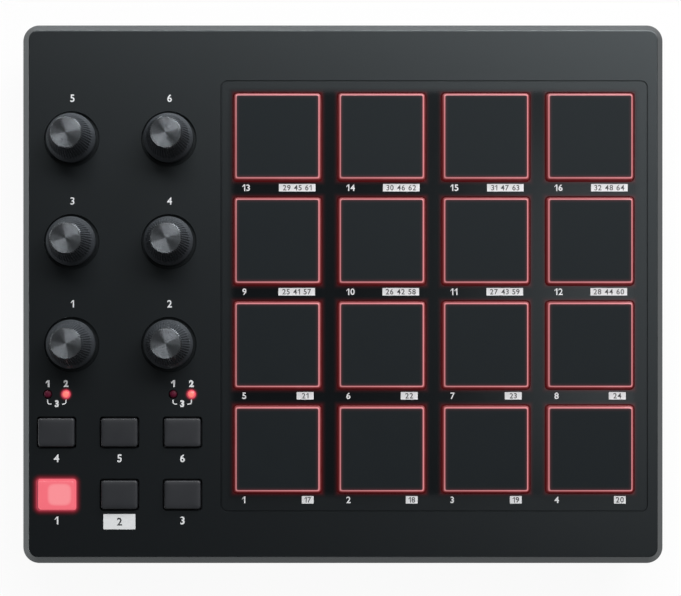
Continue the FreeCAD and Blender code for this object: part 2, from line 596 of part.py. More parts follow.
def bottom_case():
    """Moulded tray: drawn-in sides, lip, screw columns, board columns, ribs and foot recesses."""
    body = new_body("bottom_case")
    outer = []
    for name, height, inset in (("outer_lower", "foot_lift", "base_inset"),
                                ("outer_upper", "seam_height", "0")):
        outer.append(new_sketch(body, name, height))
        add_rounded_rectangle(outer[-1], f"case_width - 2 * {inset}", f"case_depth - 2 * {inset}",
                              f"case_corner - {inset}")
    loft(body, "outer_form", *outer)
    floor_inset = f"(base_inset * (seam_height - {FLOOR_TOP}) / (seam_height - foot_lift) + case_wall)"
    inner_lower = shell_outline(body, "inner_lower", FLOOR_TOP, floor_inset)
    inner_upper = shell_outline(body, "inner_upper", "seam_height", "case_wall")
    loft(body, "inner_form", inner_lower, inner_upper, cut=True)

    lip = new_sketch(body, "lip_outline", "seam_height")
    for inset in ("case_wall", "(case_wall - lip_thickness)"):
        add_shell_outline(lip, inset)
    extrude(body, "lip", lip, "lip_height")

    rib = new_sketch(body, "rib_outline", FLOOR_MIDDLE)
    rib_length = "(case_depth - 2 * (base_inset + case_wall / 2))"
    add_rectangle(rib, "rib_thickness", rib_length, "-1.5 * rib_pitch")
    first_rib = extrude(body, "rib", rib, "floor_thickness / 2 + rib_height")
    repeat(body, "ribs", [first_rib], "X", "rib_pitch", 4)

    first_screw = CASE_SCREWS[:1]
    column_outline = rounds(body, "column_outline", FLOOR_MIDDLE, "column_width", first_screw)
    column = extrude(body, "column", column_outline, "seam_height - foot_lift - floor_thickness / 2")
    head_outline = rounds(body, "head_hole_outline", "head_seat", "head_hole", first_screw, SEEN_SIDES)
    head_hole = extrude(body, "head_hole", head_outline, "head_seat - foot_lift", cut=True)
    hole_outline = rounds(body, "screw_hole_outline", "seam_height", "screw_hole", first_screw)
    screw_hole = extrude(body, "screw_hole", hole_outline, "seam_height - head_seat", cut=True)
    repeat(body, "columns", [column, head_hole, screw_hole], "X", "post_x", 3, ("Y", "2 * post_y", 2))

    board_columns = rounds(body, "board_column_outlines", FLOOR_MIDDLE, "boss_width", MAIN_COLUMNS)
    extrude(body, "board_columns", board_columns, "main_board_height - foot_lift - floor_thickness / 2")
    board_pilots = rounds(body, "board_pilot_outlines", "main_board_height", "pilot_hole", MAIN_COLUMNS,
                          SCREW_SIDES)
    extrude(body, "board_pilots", board_pilots, "small_screw_length - board_thickness + screw_end_gap",
            cut=True)

    recess_outline = rounds(body, "foot_recess_outline", "foot_lift", "foot_width + 2 * foot_play",
                            [("-foot_x", "-foot_y")], SEEN_SIDES)
    recess = extrude(body, "foot_recess", recess_outline, "foot_recess", backwards=True, cut=True)
    repeat(body, "foot_recesses", [recess], "X", "2 * foot_x", 2, ("Y", "2 * foot_y", 2))

    usb_notch = new_sketch(body, "usb_notch_outline", "seam_height + lip_height")
    add_rectangle(usb_notch, "usb_width + 2 * usb_window_gap", "2 * (base_inset + case_wall)", "usb_x",
                  "case_depth / 2")
    extrude(body, "usb_notch", usb_notch, f"seam_height + lip_height - {MAIN_BOARD_TOP} + usb_window_gap",
            cut=True)
    return body


def pad(number):
    """Thick silicone pad: flange under the panel, upright foot and drawn-in sides up to the flat face."""
    body = new_body(f"pad_{number:02d}")
    flange = clipped(body, "flange_outline", FLANGE_FOOT, "pad_flange", "pad_flange", "flange_clip")
    extrude(body, "flange", flange, "flange_thickness")
    base_outline = clipped(body, "base_outline", FLANGE_TOP, "pad_base", "pad_base", "pad_base_corner")
    base = extrude(body, "base", base_outline, f"panel_height + pad_height - {FLANGE_TOP}")
    bevel(body, "sides", base, "(pad_base - pad_face) / 2", "pad_height - pad_upright")
    move(body, *pad_place((number - 1) % 4, (number - 1) // 4))
    return body


def button(number):
    """Push button: bevelled cap, flange under the panel and contact pill over the control board."""
    body = new_body(f"button_{number}")
    pill = rounds(body, "pill_outline", PILL_FOOT, "pill_width", [("0", "0")])
    extrude(body, "pill", pill, f"{FLANGE_FOOT} - {PILL_FOOT}")
    flange = new_sketch(body, "flange_outline", FLANGE_FOOT)
    add_rectangle(flange, "button_width + 2 * button_flange", "button_depth + 2 * button_flange")
    extrude(body, "flange", flange, "flange_thickness")
    cap_outline = clipped(body, "cap_outline", FLANGE_TOP, "button_width", "button_depth", "button_corner")
    cap = extrude(body, "cap", cap_outline, f"panel_height + button_height - {FLANGE_TOP}")
    bevel(body, "edge", cap, "button_edge", "button_edge")
    move(body, *button_place((number - 1) % 3, (number - 1) // 3))
    return body


def knob(number):
    """Flared skirt and knurled, tapering grip round a hub that is bored for the flatted shaft."""
    body = new_body(f"knob_{number}")
    root = "(grip_width / 2 - knurl_depth)"
    grip_foot = "(panel_height + grip_foot)"
    skirt_outline = new_sketch(body, "skirt_outline", KNOB_FOOT)
    add_polygon(skirt_outline, KNURLS, "skirt_width")
    skirt = extrude(body, "skirt", skirt_outline, f"{grip_foot} - {KNOB_FOOT}")
    bevel(body, "flare", skirt, f"skirt_width / 2 - {root} * cos(180 / {KNURLS})", "grip_foot - skirt_top")

    grip_outline = new_sketch(body, "grip_outline", grip_foot)
    points = []
    for step in range(2 * KNURLS):
        angle = math.pi * step / KNURLS
        reach = root if step % 2 else "grip_width / 2"
        points.append((f"{math.cos(angle):.6f} * {reach}", f"{math.sin(angle):.6f} * {reach}"))
    add_outline(grip_outline, points)
    grip = extrude(body, "grip", grip_outline, "knob_height - grip_foot")
    lean(body, "grip_sides", grip, "grip_draft", grip_foot, lowest=grip_foot)

    hollow = new_sketch(body, "hollow_outline", KNOB_FOOT)
    add_polygon(hollow, HIDDEN_SIDES, "skirt_width - 2 * knob_wall")
    add_polygon(hollow, HIDDEN_SIDES, "hub_width")
    extrude(body, "hollow", hollow, "knob_hollow", backwards=True, cut=True)
    bore = new_sketch(body, "bore_outline", KNOB_FOOT)
    add_flatted_circle(bore, "shaft_width / 2 + bore_play", "shaft_flat + bore_play")
    extrude(body, "bore", bore, f"{ENCODER_TOP} + shaft_length + bore_end_gap - {KNOB_FOOT}",
            backwards=True, cut=True)
    move(body, *knob_place((number - 1) % 2, (number - 1) // 2))
    return body


def encoder_body(number):
    """Fixed part of a rotary encoder: body on the board, bush up into the panel, bore for the shaft."""
    body = new_body(f"encoder_body_{number}")
    block = new_sketch(body, "block_outline", CONTROL_BOARD_TOP)
    add_rectangle(block, "encoder_width", "encoder_depth")
    extrude(body, "block", block, "encoder_height")
    bush = rounds(body, "bush_outline", ENCODER_TOP, "bush_width", [("0", "0")])
    extrude(body, "bush", bush, "bush_length")
    bore = new_sketch(body, "bore_outline", f"{ENCODER_TOP} + bush_length")
    add_circle(bore, "shaft_width + 2 * shaft_play")
    extrude(body, "bore", bore, "bush_length + encoder_height - encoder_floor", cut=True)
    move(body, *knob_place((number - 1) % 2, (number - 1) // 2))
    return body


def encoder_shaft(number):
    """Round shaft with a flat at its upper end, which the knob is pushed onto."""
    body = new_body(f"encoder_shaft_{number}")
    foot = f"({CONTROL_BOARD_TOP} + encoder_floor + bore_end_gap)"
    flat_foot = f"({ENCODER_TOP} + shaft_length - flat_length)"
    round_outline = new_sketch(body, "round_outline", foot)
    add_circle(round_outline, "shaft_width")
    extrude(body, "round_part", round_outline, f"{flat_foot} - {foot}")
    flatted = new_sketch(body, "flatted_outline", flat_foot)
    add_flatted_circle(flatted, "shaft_width / 2", "shaft_flat")
    extrude(body, "flatted_part", flatted, "flat_length")
    move(body, *knob_place((number - 1) % 2, (number - 1) // 2))
    return body


def keypad_mat():
    """Silicone mat on the control board, with an upright wall round each button."""
    body = new_body("keypad_mat")
    mat = new_sketch(body, "mat_outline", CONTROL_BOARD_TOP)
    add_rectangle(mat, "2 * button_pitch_x + button_width + mat_margin",
                  "button_pitch_y + button_depth + mat_margin", "button_x", "button_y")
    extrude(body, "mat", mat, "mat_thickness")
    collar = new_sketch(body, "collar_outline", CONTROL_BOARD_TOP)
    collar_width = "(button_width + 2 * button_flange)"
    collar_depth = "(button_depth + 2 * button_flange)"
    add_rectangle(collar, collar_width, collar_depth, *button_place(0, 0))
    wall_height = f"({FLANGE_FOOT} - button_travel - press_gap - {CONTROL_BOARD_TOP})"
    first_collar = extrude(body, "collar", collar, wall_height)
    well = new_sketch(body, "well_outline", CONTROL_BOARD_TOP)
    add_rectangle(well, f"{collar_width} - 2 * mat_wall", f"{collar_depth} - 2 * mat_wall",
                  *button_place(0, 0))
    first_well = extrude(body, "well", well, wall_height, backwards=True, cut=True)
    repeat(body, "collars", [first_collar, first_well], "X", "button_pitch_x", 3,
           ("Y", "button_pitch_y", 2))
    holes = rounds(body, "boss_hole_outlines", CONTROL_BOARD_TOP, "boss_width + 2 * flange_gap",
                   CONTROL_BOSSES[3:])
    extrude(body, "boss_holes", holes, "mat_thickness", backwards=True, cut=True)
    return body


def board(name, outline, foot, hole_places):
    """A circuit board with its screw holes; outline gives its width, depth and middle."""
    body = new_body(name)
    sketch = rounds(body, "board_outline", foot, "board_hole", hole_places, SCREW_SIDES)
    add_rectangle(sketch, *outline)
    extrude(body, "board", sketch, "board_thickness")
    return body


def boards():
    control_depth = "(control_board_rear - control_board_front)"
    control_middle = "((control_board_rear + control_board_front) / 2)"
    return [
        board("pad_board", ("pad_board_width", "pad_board_depth", "field_x", "field_y"), PAD_BOARD_FOOT,
              PAD_BOSSES),
        board("control_board", ("control_board_width", control_depth, "knob_column_x", control_middle),
              CONTROL_BOARD_FOOT, CONTROL_BOSSES),
        board("main_board", ("main_board_width", "main_board_depth", "main_board_x", MAIN_BOARD_Y),
              "main_board_height", MAIN_COLUMNS),
    ]


def pad_sensor_film():
    """Comb of four pressure-sensing strips, one under each row of pads, joined along the left."""
    body = new_body("pad_sensor_film")
    sketch = new_sketch(body, "film_outline", PAD_BOARD_TOP)
    left = "(field_x - pad_board_width / 2 + film_inset)"
    inner, right = f"({left} + film_spine)", "(field_x + 1.5 * pad_pitch + film_strip / 2)"
    points = [(left, "field_y + 1.5 * pad_pitch + film_strip / 2"),
              (left, "field_y - 1.5 * pad_pitch - film_strip / 2")]
    for row in range(4):
        front, rear = (f"field_y + {row - 1.5} * pad_pitch {side} film_strip / 2" for side in ("-", "+"))
        strip = [(inner, front), (right, front), (right, rear), (inner, rear)]
        points += strip[1 if row == 0 else 0:3 if row == 3 else 4]
    add_outline(sketch, points)
    extrude(body, "film", sketch, "film_thickness")
    return body


def bank_lamps():
    """Four leaded lamps: domed lens, collar and two leads down to the control board."""
    body = new_body("bank_lamps")
    tip = "(panel_height + lamp_height)"
    collar_foot = f"({tip} - lamp_body)"
    collars = rounds(body, "collar_outlines", collar_foot, "lamp_collar", LAMP_PLACES)
    extrude(body, "collars", collars, "lamp_collar_height")
    lens_outlines = rounds(body, "lens_outlines", f"{collar_foot} + lamp_collar_height", "lamp_width",
                           LAMP_PLACES, SEEN_SIDES)
    lenses = extrude(body, "lenses", lens_outlines, "lamp_body - lamp_collar_height")
    bevel(body, "domes", lenses, "lamp_width / 4", "lamp_dome")
    leads = new_sketch(body, "lead_outlines", CONTROL_BOARD_TOP)
    for x, y in LAMP_PLACES:
        for side in ("-", "+"):
            add_rectangle(leads, "lead_width", "lead_width", f"({x} {side} lead_pitch / 2)", y)
    extrude(body, "leads", leads, f"{collar_foot} - {CONTROL_BOARD_TOP}")
    return body


def backlight_lamps():
    """Small lamps on the boards: five rows of four between the pads, and one beside each button's pill."""
    body = new_body("backlight_lamps")
    x, y = pad_place(0, -0.5)
    pad_lamp = new_sketch(body, "pad_lamp_outline", PAD_BOARD_TOP)
    add_rectangle(pad_lamp, "backlight_width", "backlight_width", x, y)
    first_pad_lamp = extrude(body, "pad_lamp", pad_lamp, "backlight_height")
    repeat(body, "pad_lamps", [first_pad_lamp], "X", "pad_pitch", 4, ("Y", "pad_pitch", 5))
    x, y = button_place(0, 0)
    button_lamp = new_sketch(body, "button_lamp_outline", CONTROL_BOARD_TOP)
    add_rectangle(button_lamp, "backlight_width", "backlight_width", f"({x} + backlight_shift)", y)
    first_button_lamp = extrude(body, "button_lamp", button_lamp, "backlight_height")
    repeat(body, "button_lamps", [first_button_lamp], "X", "button_pitch_x", 3, ("Y", "button_pitch_y", 2))
    return body


def usb_socket():
    """Square socket on the main board, with its slanted mouth to the rear and the contact tongue inside."""
    body = new_body("usb_socket")
    mouth_y = "(case_depth / 2 - usb_setback)"
    shell = new_sketch(body, "shell_outline", MAIN_BOARD_TOP)
    add_rectangle(shell, "usb_width", "usb_depth", "usb_x", f"({mouth_y} - usb_depth / 2)")
    extrude(body, "shell", shell, "usb_height")
    middle_z = f"({MAIN_BOARD_TOP} + usb_height / 2)"
    left, right = "(usb_x - usb_mouth_width / 2)", "(usb_x + usb_mouth_width / 2)"
    low, high = f"({middle_z} - usb_mouth_height / 2)", f"({middle_z} + usb_mouth_height / 2)"
    mouth = new_sketch(body, "mouth_outline", f"-{mouth_y}", "XZ_Plane")
    add_outline(mouth, [(left, low), (right, low), (right, f"{high} - usb_mouth_clip"),
                        (f"{right} - usb_mouth_clip", high), (f"{left} + usb_mouth_clip", high),
                        (left, f"{high} - usb_mouth_clip")])
    extrude(body, "mouth", mouth, "usb_mouth_depth", backwards=True, cut=True)
    tongue = new_sketch(body, "tongue_outline", f"-({mouth_y} - usb_mouth_depth)", "XZ_Plane")
    add_rectangle(tongue, "usb_tongue_width", "usb_tongue_height", "usb_x", middle_z)
    extrude(body, "tongue", tongue, "usb_tongue_length", backwards=True)
    return body


def lock_slot_plate():
    """Steel plate against the rear wall, slotted like the wall."""
    body = new_body("lock_slot_plate")
    sketch = new_sketch(body, "plate_outline", "-(case_depth / 2 - case_wall)", "XZ_Plane")
    add_rectangle(sketch, "lock_plate_width", "lock_plate_height", "lock_x", "lock_z")
    add_rectangle(sketch, "lock_width", "lock_height", "lock_x", "lock_z")
    extrude(body, "plate", sketch, "lock_plate_thickness")
    return body


def ribbon(name, x, y, top):
    """Flat cable from the underside of a board down and back to the main board."""
    body = new_body(name)
    sketch = new_sketch(body, "ribbon_outline", f"{x} - ribbon_width / 2", "YZ_Plane")
    near, far = y, f"({y} + ribbon_reach)"
    upper, lower = f"({top} - ribbon_stub)", f"({MAIN_BOARD_TOP} + ribbon_stub)"
    add_outline(sketch, [(near, top), (near, f"{upper} - ribbon_thickness"),
                         (far, f"{lower} - ribbon_thickness / 2"),
                         (far, MAIN_BOARD_TOP), (f"{far} + ribbon_thickness", MAIN_BOARD_TOP),
                         (f"{far} + ribbon_thickness", f"{lower} + ribbon_thickness / 2"),
                         (f"{near} + ribbon_thickness", upper), (f"{near} + ribbon_thickness", top)])
    extrude(body, "ribbon", sketch, "ribbon_width")
    return body


def processor_chip():
    body = new_body("processor_chip")
    sketch = new_sketch(body, "chip_outline", MAIN_BOARD_TOP)
    add_rectangle(sketch, "chip_width", "chip_width", "main_board_x", MAIN_BOARD_Y)
    extrude(body, "chip", sketch, "chip_height")
    return body


def foot(name, side, end):
    """Rubber foot with a bevelled lower edge, in its recess; side and end are its signs in X and Y."""
    body = new_body(name)
    outline = new_sketch(body, "outline")
    add_polygon(outline, SEEN_SIDES, "foot_width")
    block = extrude(body, "block", outline, "foot_lift + foot_recess")
    bevel(body, "edge", block, "foot_edge", "foot_edge", side=min)
    move(body, f"{side} * foot_x", f"{end} * foot_y")
    return body


def case_screws():
    """Six screws up through the bottom case into the posts of the top case."""
    body = new_body("case_screws")
    place = CASE_SCREWS[:1]
    head_outline = rounds(body, "head_outline", "head_seat", "head_width", place)
    head = extrude(body, "head", head_outline, "head_height", backwards=True)
    shank_outline = rounds(body, "shank_outline", "head_seat", "post_pilot - 2 * thread_gap", place,
                           SCREW_SIDES)
    shank = extrude(body, "shank", shank_outline, "screw_length")
    repeat(body, "screws", [head, shank], "X", "post_x", 3, ("Y", "2 * post_y", 2))
    return body


def board_screws():
    """Small screws of the pad and control boards under the panel and of the main board on its columns."""
    body = new_body("board_screws")
    for name, places, seat, head_below in (("pad_board", PAD_BOSSES, PAD_BOARD_FOOT, True),
                                           ("control_board", CONTROL_BOSSES, CONTROL_BOARD_FOOT, True),
                                           ("main_board", MAIN_COLUMNS, MAIN_BOARD_TOP, False)):
        heads = rounds(body, f"{name}_heads_outline", seat, "small_head_width", places, SCREW_SIDES)
        extrude(body, f"{name}_heads", heads, "small_head_height", backwards=head_below)
        shanks = rounds(body, f"{name}_shanks_outline", seat, "pilot_hole - 2 * thread_gap", places,
                        SCREW_SIDES)
        extrude(body, f"{name}_shanks", shanks, "small_screw_length", backwards=not head_below)
    return body


def build():
    """Every sub-part of the controller."""
    bodies = [top_case(), bottom_case()]
    bodies += [pad(number) for number in range(1, 17)]
    bodies += [button(number) for number in range(1, 7)]
    bodies += [make(number) for make in (knob, encoder_body, encoder_shaft) for number in range(1, 7)]
    bodies += [keypad_mat(), *boards(), pad_sensor_film(), bank_lamps(), backlight_lamps()]
    bodies += [usb_socket(), lock_slot_plate(), processor_chip()]
    bodies.append(ribbon("pad_ribbon", "pad_ribbon_x", "pad_ribbon_y", PAD_BOARD_FOOT))
    bodies.append(ribbon("control_ribbon", "control_ribbon_x", "control_ribbon_y", CONTROL_BOARD_FOOT))
    for side_name, side in (("left", -1), ("right", 1)):
        for end_name, end in (("front", -1), ("rear", 1)):
            bodies.append(foot(f"foot_{end_name}_{side_name}", side, end))
    return bodies + [case_screws(), board_screws()]


def check(bodies):
    """Stop on a failed object, a cut that removed nothing, or a sub-part without a sound shape."""
    for item in document.Objects:
        if "Invalid" in item.State or "Error" in item.State:
            raise RuntimeError(f"{item.Label} did not build: {item.State}")
        if item.TypeId in ("PartDesign::Pocket", "PartDesign::SubtractiveLoft"):
            if item.Shape.Volume > item.BaseFeature.Shape.Volume - 1e-6:
                raise RuntimeError(f"{item.Label} cuts nothing")
    for body in bodies:
        if body.Shape.isNull() or not body.Shape.isValid():
            raise RuntimeError(f"{body.Label} has no sound shape")


sub_parts = build()
document.recompute()
check(sub_parts)
os.makedirs("parts", exist_ok=True)
for sub_part in sub_parts:
    sub_part.Shape.exportStep(f"parts/{sub_part.Label}.step")
print(f"{len(sub_parts)} sub-parts written")
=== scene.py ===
import math

import bmesh
import bpy
from bpy.props import FloatProperty, FloatVectorProperty, IntProperty, PointerProperty
from mathutils import Matrix, Vector


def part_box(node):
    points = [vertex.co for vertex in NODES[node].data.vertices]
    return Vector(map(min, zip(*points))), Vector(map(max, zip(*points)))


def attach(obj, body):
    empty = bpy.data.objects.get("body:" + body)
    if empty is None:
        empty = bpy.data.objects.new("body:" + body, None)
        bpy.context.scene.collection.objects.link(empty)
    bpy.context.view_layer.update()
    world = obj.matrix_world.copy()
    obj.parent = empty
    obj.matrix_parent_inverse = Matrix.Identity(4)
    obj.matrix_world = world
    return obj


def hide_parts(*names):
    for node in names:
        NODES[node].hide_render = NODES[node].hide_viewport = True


bl_info = {
    "name": "Pad controller",
    "version": (1, 0, 0),
    "blender": (4, 5, 0),
    "location": "View3D > Sidebar > Pad controller",
    "description": "Detailed pieces, finishes and a stage round the packed pad controller",
    "category": "Object",
}

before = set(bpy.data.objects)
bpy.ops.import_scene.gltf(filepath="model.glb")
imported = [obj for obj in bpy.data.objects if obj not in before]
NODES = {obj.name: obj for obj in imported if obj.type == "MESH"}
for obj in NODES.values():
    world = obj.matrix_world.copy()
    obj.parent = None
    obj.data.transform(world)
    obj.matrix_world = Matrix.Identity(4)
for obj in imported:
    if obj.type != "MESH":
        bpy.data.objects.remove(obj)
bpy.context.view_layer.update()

MM = 0.001
# Lengths that differ by less than this count as the same
ALMOST = 1e-6
SHARP_ANGLE = math.radians(35)

BLACK = (0.0, 0.0, 0.0, 1.0)
WHITE = (1.0, 1.0, 1.0, 1.0)
# Colours of the shine on the plastics and on the pads
COOL_SHINE = (0.86, 0.96, 1.0, 1.0)
PAD_SHINE = (0.82, 0.95, 1.0, 1.0)

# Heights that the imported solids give
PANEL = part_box("top_case")[1].z
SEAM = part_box("top_case")[0].z
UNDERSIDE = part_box("bottom_case")[0].z
PAD_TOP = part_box("pad_01")[1].z
PAD_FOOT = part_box("pad_01")[0].z
BOARD_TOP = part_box("control_board")[1].z

KNOB_NUMBERS = range(1, 7)
PAD_NUMBERS = range(1, 17)
BUTTON_NUMBERS = range(1, 7)
LIT_BUTTON = 1
# The button whose figure stands on a white tag
FRAMED_BUTTON = 2
CAP_WIDTH = 13.4 * MM
CAP_DEPTH = 10.5 * MM
FOOT_NAMES = ("foot_front_left", "foot_front_right", "foot_rear_left", "foot_rear_right")


def middle(node):
    """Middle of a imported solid's box."""
    low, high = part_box(node)
    return (low + high) / 2


def tone(red, green, blue):
    """A picture's colour, 0 to 255 a channel, as the linear colour that the nodes take."""
    shares = [channel / 255 for channel in (red, green, blue)]
    linear = [share / 12.92 if share <= 0.04045 else ((share + 0.055) / 1.055) ** 2.4 for share in shares]
    return (*linear, 1.0)


def length(name, note, size):
    """A property for a size, with its default in millimetres."""
    return FloatProperty(name=name, description=note, default=size * MM, min=0.0, unit="LENGTH", precision=5)


def paint(name, note, colour):
    """A property for a colour."""
    return FloatVectorProperty(name=name, description=note, default=colour, size=4, min=0.0, max=1.0,
                               subtype="COLOR")


def share(name, note, amount, high=1.0):
    """A property for a plain number."""
    return FloatProperty(name=name, description=note, default=amount, min=0.0, max=high)


FIELD = (middle("pad_01") + middle("pad_16")) / 2
PAD_PITCH = middle("pad_02").x - middle("pad_01").x
KNOB_PITCH_X = middle("knob_2").x - middle("knob_1").x
KNOB_PITCH_Y = middle("knob_3").y - middle("knob_1").y
CASE_LOW, CASE_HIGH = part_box("top_case")
CASE_WIDTH = CASE_HIGH.x - CASE_LOW.x
CASE_DEPTH = CASE_HIGH.y - CASE_LOW.y


class CaseSettings(bpy.types.PropertyGroup):
    """Sizes and colour of the two shells."""

    corner: length("Corner", "Radius of the case's upright corners", 6.0)
    rim_width: length("Rim width", "Sloping rim round the panel, seen from above", 2.75)
    rim_drop: length("Rim drop", "How far that rim falls", 3.4)
    rim_round: length("Rim rounding", "Rounded foot of the rim", 0.15)
    panel_round: length("Panel rounding", "Rounded edge between rim and panel", 0.3)
    seam_round: length("Seam rounding", "Rounded edges where the shells meet", 0.25)
    wall: length("Wall", "Side wall of both shells", 2.4)
    panel: length("Panel", "Thickness of the top panel", 2.5)
    window: length("Pad window", "Square window of each pad", 33.2)
    window_corner: length("Window corner", "Corner radius of the pad windows", 1.7)
    window_edge: length("Window edge", "Broken edge of every window", 0.12)
    frame_width: length("Field width", "Moulded line round the pads, across", 158.2)
    frame_depth: length("Field depth", "Moulded line round the pads, front to rear", 159.8)
    line_x: FloatProperty(name="Line middle across", description="Middle of that line along X",
                          default=33.8 * MM, unit="LENGTH")
    line_y: FloatProperty(name="Line middle in depth", description="Middle of that line along Y",
                          default=-0.95 * MM, unit="LENGTH")
    line_width: length("Field line", "Width of that line", 0.62)
    line_depth: length("Line depth", "Depth of that line", 0.3)
    line_corner: length("Line corner", "Corner radius of that line", 2.4)
    knob_groove: length("Knob groove", "Outer radius of the groove under each knob's skirt", 10.25)
    groove_width: length("Groove width", "Width of that groove", 1.7)
    groove_depth: length("Groove depth", "Depth of that groove", 1.2)
    base_inset: length("Base inset", "How far the bottom shell draws in", 5.0)
    plastic: paint("Plastic", "Colour of the moulded shells", tone(9, 12, 15))


class PadSettings(bpy.types.PropertyGroup):
    """Sizes and colours of the sixteen pads."""

    flange: length("Flange", "Flange under the panel", 35.5)
    foot: length("Foot", "Pad where it leaves the panel", 32.4)
    foot_corner: length("Foot corner", "Corner radius there", 1.35)
    face: length("Face", "Flat top of the pad", 29.9)
    face_corner: length("Face corner", "Corner radius of the face", 0.45)
    rubber: paint("Rubber", "Colour of the pads' tops", tone(22, 26, 29))


class KnobSettings(bpy.types.PropertyGroup):
    """Sizes and colours of the six knobs."""

    teeth: IntProperty(name="Teeth", description="Ribs round the grip", default=48, min=12, max=72)
    tooth: length("Tooth", "Depth of the grooves between the ribs", 0.34)
    plastic: paint("Plastic", "Colour of the knobs", tone(56, 59, 63))
    metal: paint("Metal", "Colour of the discs", tone(101, 105, 109))


class ButtonSettings(bpy.types.PropertyGroup):
    """Sizes and colours of the six buttons."""

    corner: length("Corner", "Corner radius of the caps", 0.9)
    gap: length("Gap", "Gap between a cap and its window", 0.6)
    rubber: paint("Rubber", "Colour of the caps", tone(43, 45, 49))
    lit_edge: paint("Lit edge", "Light of the lit cap near its edges", tone(236, 108, 120))
    lit_core: paint("Lit core", "Light of the lit cap over its lamp", tone(242, 142, 148))


class PrintSettings(bpy.types.PropertyGroup):
    """Sizes and colour of what is printed on the panel."""

    knob_figure: length("Knob figures", "Height of the figures at the knobs", 2.75)
    pad_figure: length("Pad figures", "Height of the figures at the pads", 2.45)
    lamp_figure: length("Lamp figures", "Height of the figures at the lamps", 2.6)
    button_figure: length("Button figures", "Height of the figures at the buttons", 2.9)
    ink_depth: length("Ink", "Thickness of the print", 0.02)
    tag_figure: length("Tag figures", "Height of the dark figures on the tags", 2.0)
    ink: paint("Ink colour", "Colour of the print", tone(244, 246, 248))


class StageSettings(bpy.types.PropertyGroup):
    """Camera, lights and floor."""

    camera_height: length("Camera height", "Camera above the panel", 540.0)
    view_width: length("View width", "Width that the view takes in at the panel", 253.0)
    shift_x: share("Shift across", "Lens shift to the right", 0.06)
    shift_y: share("Shift up", "Lens shift upwards", 0.12)
    view_x: FloatProperty(name="View middle across", description="Middle of the view along X",
                          default=-1.0 * MM, unit="LENGTH")
    view_y: FloatProperty(name="View middle in depth", description="Middle of the view along Y",
                          default=-1.6 * MM, unit="LENGTH")
    room: share("Room light", "Strength of the light from all round", 0.045, 4.0)
    brightness: share("Brightness", "Share of the lights' full power", 1.0, 4.0)


class ControllerSettings(bpy.types.PropertyGroup):
    """All settings of the pad controller."""

    case: PointerProperty(type=CaseSettings)
    pads: PointerProperty(type=PadSettings)
    knobs: PointerProperty(type=KnobSettings)
    buttons: PointerProperty(type=ButtonSettings)
    prints: PointerProperty(type=PrintSettings)
    stage: PointerProperty(type=StageSettings)


def settings():
    """The settings of the scene."""
    return bpy.context.scene.pad_controller


class Wire:
    """A node's output. Arithmetic on it adds Math nodes to its recipe."""

    def __init__(self, recipe, socket):
        self.recipe = recipe
        self.socket = socket

    def __add__(self, other):
        return self.recipe.math("ADD", self, other)

    def __sub__(self, other):
        return self.recipe.math("SUBTRACT", self, other)

    def __rsub__(self, other):
        return self.recipe.math("SUBTRACT", other, self)

    def __mul__(self, other):
        return self.recipe.math("MULTIPLY", self, other)

    def __truediv__(self, other):
        return self.recipe.math("DIVIDE", self, other)

    def __pow__(self, other):
        return self.recipe.math("POWER", self, other)

    def __lt__(self, other):
        return self.recipe.math("LESS_THAN", self, other)

    def __abs__(self):
        return self.recipe.math("ABSOLUTE", self)

    __radd__ = __add__
    __rmul__ = __mul__

    def larger(self, other):
        return self.recipe.math("MAXIMUM", self, other)

    def wrapped(self, pitch):
        """The same pattern in every cell of a grid, measured from the cell's middle."""
        return self.recipe.math("WRAP", self, pitch / 2, -pitch / 2)

    def rise(self, start, end):
        """0 before the start, 1 after the end and a smooth step between."""
        return self.recipe.node("ShaderNodeMapRange", {"interpolation_type": "SMOOTHSTEP"},
                                {"Value": self, "From Min": start, "From Max": end})

    def fall(self, start, end):
        return 1 - self.rise(start, end)


